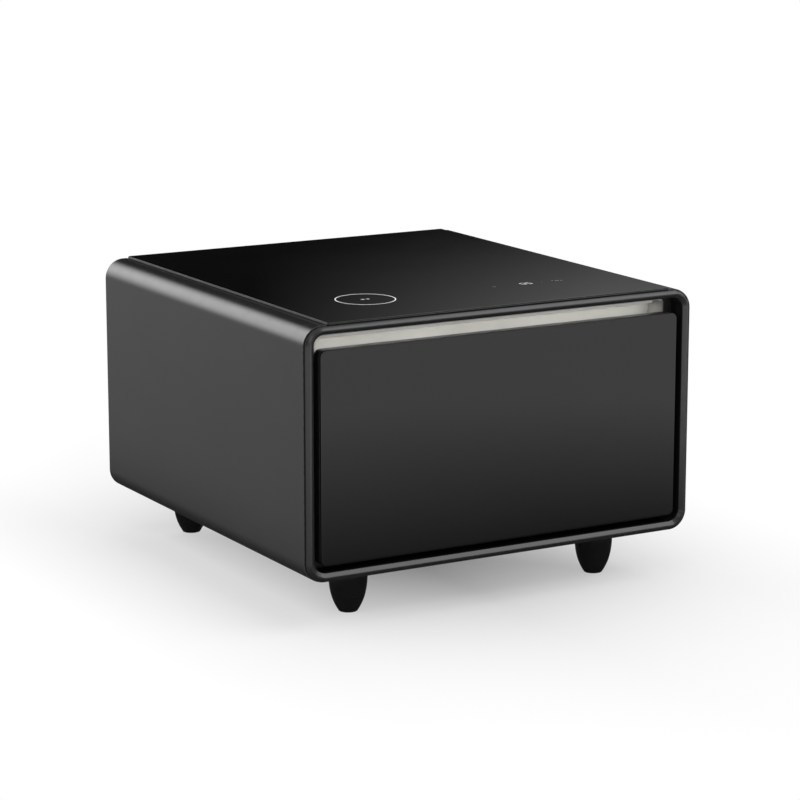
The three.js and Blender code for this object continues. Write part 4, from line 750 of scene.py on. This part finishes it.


# The end walls are the faces whose middles lie within a reach of the loop's sides. They take a darker copy of the
# cove's plastic, painted shade on the recess's ends
def makeRecess(values):
    loop, back, turn, wall = (values[key] for key in ("loop", "back", "turn", "wall"))
    outer = insetLoop(loop, -wall)
    inside = tubRings(loop, back, turn, values["steps"])
    outside = tubRings(outer, back + wall, turn + wall, values["steps"])
    rings = outside[::-1] + [standing(outer, values["front"]), standing(loop, values["front"])] + inside
    mesh = skinMesh("recessTub", rings)
    addPiece(mesh, "covePlastic", "cabinet", ["light_cove"])
    middles = np.zeros(len(mesh.polygons) * 3)
    mesh.polygons.foreach_get("center", middles)
    mesh.materials.append(materials["coveEndShade"])
    index = (np.abs(middles[::3]) > (loop["halfWidth"] - values["endReach"]) * mm).astype(np.int32)
    mesh.polygons.foreach_set("material_index", index)


makeRecess(recess)


# Drawer's bin, lining and seal, and the cold compartment's liner

tub = {"loop": {"halfWidth": 221.7, "low": frontY + 38.3, "high": 110.0, "radius": 14.0, "corner": 12},
       "low": 118.0, "high": 286.0, "wall": 2.5, "rim": 5.0, "rimDrop": 3.0, "fold": 5.0, "soft": 1.1,
       "channel": 5.0, "channelDrop": 0.8, "channelPlace": 14.0}


# A tub: its outline runs up the outside, over a turned-in rim, down the inside and round a shallow channel
def makeBin(values):
    wall, soft, rim, fold = (values[key] for key in ("wall", "soft", "rim", "fold"))
    low, high, under = values["low"], values["high"], values["high"] - values["rimDrop"]
    ground = low + wall
    start, slope = values["channelPlace"], values["channelDrop"]
    end = start + values["channel"]
    steps = np.concatenate([
        cornerArc(fold) + [0.0, low], cornerArc(soft)[::-1] * [1, -1] + [0.0, high],
        cornerArc(soft) * -1 + [rim, high], [[rim, under + soft / 2], [rim - soft / 2, under], [wall, under]],
        cornerArc(fold - wall)[::-1] + [wall, ground],
        [[start, ground], [start + slope, ground - slope], [end, ground - slope], [end + slope, ground]]])
    mesh = skinMesh("binShell", lyingRings(values["loop"], steps))
    addPiece(mesh, "linerPlastic", "drawer", ["drawer_bin"])


makeBin(tub)

liner = {"loop": {"halfWidth": 235.0, "low": 112.0, "high": 329.0, "radius": 16.0, "corner": 12},
         "front": 33.8, "back": 429.5, "wall": 2.0, "flange": 9.0, "flangeWall": 1.6, "flangeEdge": 0.3,
         "lip": 1.4, "fold": 8.0}


# A deep tub that opens to the front: outside, flange, rounded mouth and inside, with folded corners at its back
def makeLiner(values):
    wall, flange, edge, fold = (values[key] for key in ("wall", "flange", "flangeEdge", "fold"))
    front, back = values["front"], values["back"]
    behind = front + values["flangeWall"]
    steps = np.concatenate([
        cornerArc(fold + wall) * [1, -1] + [-wall, back + wall],
        [[-wall, behind], [-flange, behind], [-flange, front + edge], [edge - flange, front]],
        hollowArc(values["lip"]) + [0.0, front], cornerArc(fold)[::-1] * [1, -1] + [0.0, back]])
    mesh = skinMesh("linerShell", standingRings(values["loop"], steps))
    addPiece(mesh, "linerPlastic", "cabinet", ["inner_liner"])


makeLiner(liner)

lining = {"panel": {"halfWidth": 238.7, "low": 108.3, "high": 332.7, "radius": 19.7, "corner": 12},
          "plug": {"halfWidth": 229.0, "low": 118.0, "high": 323.0, "radius": 10.0, "corner": 12},
          "front": 23.1, "face": 30.7, "back": 38.0, "root": 1.2, "crown": 2.5, "border": 14.0, "sink": 2.0,
          "support": 3.0, "edge": 0.4}


# A plate with a raised plug: a hollow curve at the plug's root, a round one at its crown, and a sunk middle
def makeLining(values):
    front, face, back, edge = (values[key] for key in ("front", "face", "back", "edge"))
    border, sink = values["border"], values["sink"]
    plate = [(values["support"], front), (0.0, front), (0.0, face - edge), (edge, face)]
    raised = np.concatenate([
        hollowArc(values["root"]) + [0.0, face], cornerArc(values["crown"])[::-1] * [1, -1] + [0.0, back],
        [[border, back], [border + sink / 2, back - sink / 4], [border + sink, back - 3 * sink / 4],
         [border + 1.5 * sink, back - sink]]])
    mesh = skinMesh("liningPanel", standingRings(values["panel"], plate) + standingRings(values["plug"], raised))
    addPiece(mesh, "linerPlastic", "drawer", ["drawer_inner_panel"])


makeLining(lining)

# the seal's section, as shares of its width and depth: a foot, a crease and a broad bulb that holds a magnet
seal = {"inner": {"halfWidth": 239.0, "low": 108.0, "high": 333.0, "radius": 20.0, "corner": 12},
        "outer": {"halfWidth": 252.0, "low": 95.0, "high": 346.0, "radius": 33.0, "corner": 12},
        "front": 23.1, "back": 30.7,
        "half": [(0.0, 0.0), (0.0, 0.18), (0.10, 0.24), (0.22, 0.30), (0.26, 0.37), (0.14, 0.43), (0.03, 0.50),
                 (0.0, 0.60), (0.0, 0.88), (0.02, 0.96), (0.07, 1.0), (0.40, 0.97)]}


# The section is carried round between two loops: each point keeps its share of the way from one to the other
def makeSeal(values):
    half = np.array(values["half"])
    section = np.concatenate([half, half[::-1] * [-1, 1] + [1, 0]])
    depths = values["front"] + (values["back"] - values["front"]) * section[:, 1]
    rings = [standing(mixLoops(values["inner"], values["outer"], share), depth)
             for share, depth in zip(section[:, 0], depths)]
    mesh = skinMesh("doorSeal", rings, joined=True)
    addPiece(mesh, "gasketRubber", "drawer", ["drawer_gasket"])


makeSeal(seal)

screws = {"face": 306.6, "head": 4.2, "rise": 1.9, "socket": 1.9, "deep": 1.1, "sides": 30, "land": 0.5,
          "lip": 0.3, "crown": 0.45, "crownSteps": 4,
          "places": [(-286, 110), (-286, 237), (-286, 364), (286, 110), (286, 237), (286, 364), (-100, 80),
                     (100, 80), (-100, 393), (100, 393)]}


# A pan head turned round its own axis, with a six-sided socket: the radius falls to the hexagon's sides
def makeScrews(values):
    angle = np.linspace(0.0, 4 * quarterTurn, values["sides"], endpoint=False)
    inset, fall = cornerArc(1.0, values["crownSteps"])[::-1].T
    head, rise, socket = values["head"], values["rise"], values["socket"]
    slope = (head - socket - values["land"]) * values["crown"]
    radius = np.concatenate([[head], head - slope * inset, [socket + values["lip"]]])
    level = np.concatenate([[0.0], rise * (1 - fall), [rise, rise, rise - values["deep"]]])
    sixth = 2 * quarterTurn / 3
    hexagon = socket * math.cos(sixth / 2) / np.cos(angle % sixth - sixth / 2)
    rounds = np.concatenate([radius[:, None] * np.ones_like(angle), [hexagon, hexagon]])
    place = np.array(values["places"], dtype=float)[:, None, None, :]
    x = place[..., 0] + rounds * np.cos(angle)
    z = place[..., 1] + rounds * np.sin(angle)
    y = values["face"] + level[None, :, None] + 0 * x
    mesh = skinMesh("panelScrews", np.stack([x, y, z], axis=-1))
    addPiece(mesh, "screwSteel", "cabinet", sharp=40.0)


makeScrews(screws)
print("drawer's inside, liner and screws made")


# Feet

foot = {"tip": 12.0, "tipRadius": 13.1, "edge": 1.0, "top": 26.5, "height": 66.7, "fullness": 3.3, "gather": 1.6,
        "steps": 36, "sides": 72, "tipSteps": 5, "support": 1.0, "middle": 1.0, "topSupport": 0.5, "bore": 4.3,
        "places": {"front_left": (-196.0, -229.0), "front_right": (196.0, -229.0),
                   "rear_left": (-196.0, 251.0), "rear_right": (196.0, 251.0)}}


# A bullet: the radius fills out from the tip as one minus a power of what is left of the height
def makeFeet(values):
    tip, edge, top, high = (values[key] for key in ("tip", "edge", "top", "height"))
    share = np.linspace(0.0, 1.0, values["steps"] + 1) ** values["gather"]
    radius = values["tipRadius"] + (top - values["tipRadius"]) * (1 - (1 - share) ** values["fullness"])
    side = np.stack([radius, edge + share * (high - edge)], axis=1)
    turned = cornerArc(edge, values["tipSteps"])[:-1] * [-1, 1] + [tip + edge, 0.0]
    flat = [[values["middle"], 0.0], [tip - values["support"], 0.0]]
    shut = [[top - values["topSupport"], high], [values["bore"], high]]
    profile = np.concatenate([flat, turned, side, shut])
    for corner, place in values["places"].items():
        mesh = skinMesh("footTurning_" + corner, turnedRings(profile, place, values["sides"]))
        addPiece(mesh, "footMoulding", "cabinet", ["foot_" + corner], sharp=50.0)


makeFeet(foot)
print("drawer front, recess and feet made")


# Finishes of the CAD nodes

nodeFinishes = {
    "blackMoulding": ["face_frame", "drawer_front_tray", "charger_case", "terminal_cover", "main_controller",
                      "back_panel", "power_inlet", "fan_frame", "fan_rotor"],
    "lampCover": ["light_diffuser"],
    "circuitBoard": ["led_strip", "touch_board"],
    "foam": ["insulation", "drawer_front_foam"],
    "dividerPlastic": ["bin_divider"],
    "rubberMount": [f"compressor_mount_{number}" for number in range(1, 5)],
    "rolledSteel": [f"slide_{part}_{side}" for part in ("outer", "middle", "inner") for side in ("left", "right")],
    "zincSheet": ["machine_partition", "base_plate", "compressor_bracket", "condenser_bracket_front",
                  "condenser_bracket_rear", *("foot_stud_" + corner for corner in foot["places"])],
    "aluminium": ["evaporator_plate", "power_supply"],
    "copper": ["condenser_coil", "discharge_pipe", "suction_pipe", "filter_drier", "charger_coil"],
    "compressorPaint": ["compressor_shell"],
}


def dressNodes(table):
    for finish, names in table.items():
        for name in names:
            slots = nodes[name].data.materials
            for index in range(len(slots)):
                slots[index] = materials[finish]


dressNodes(nodeFinishes)
print("frame nodes dressed")
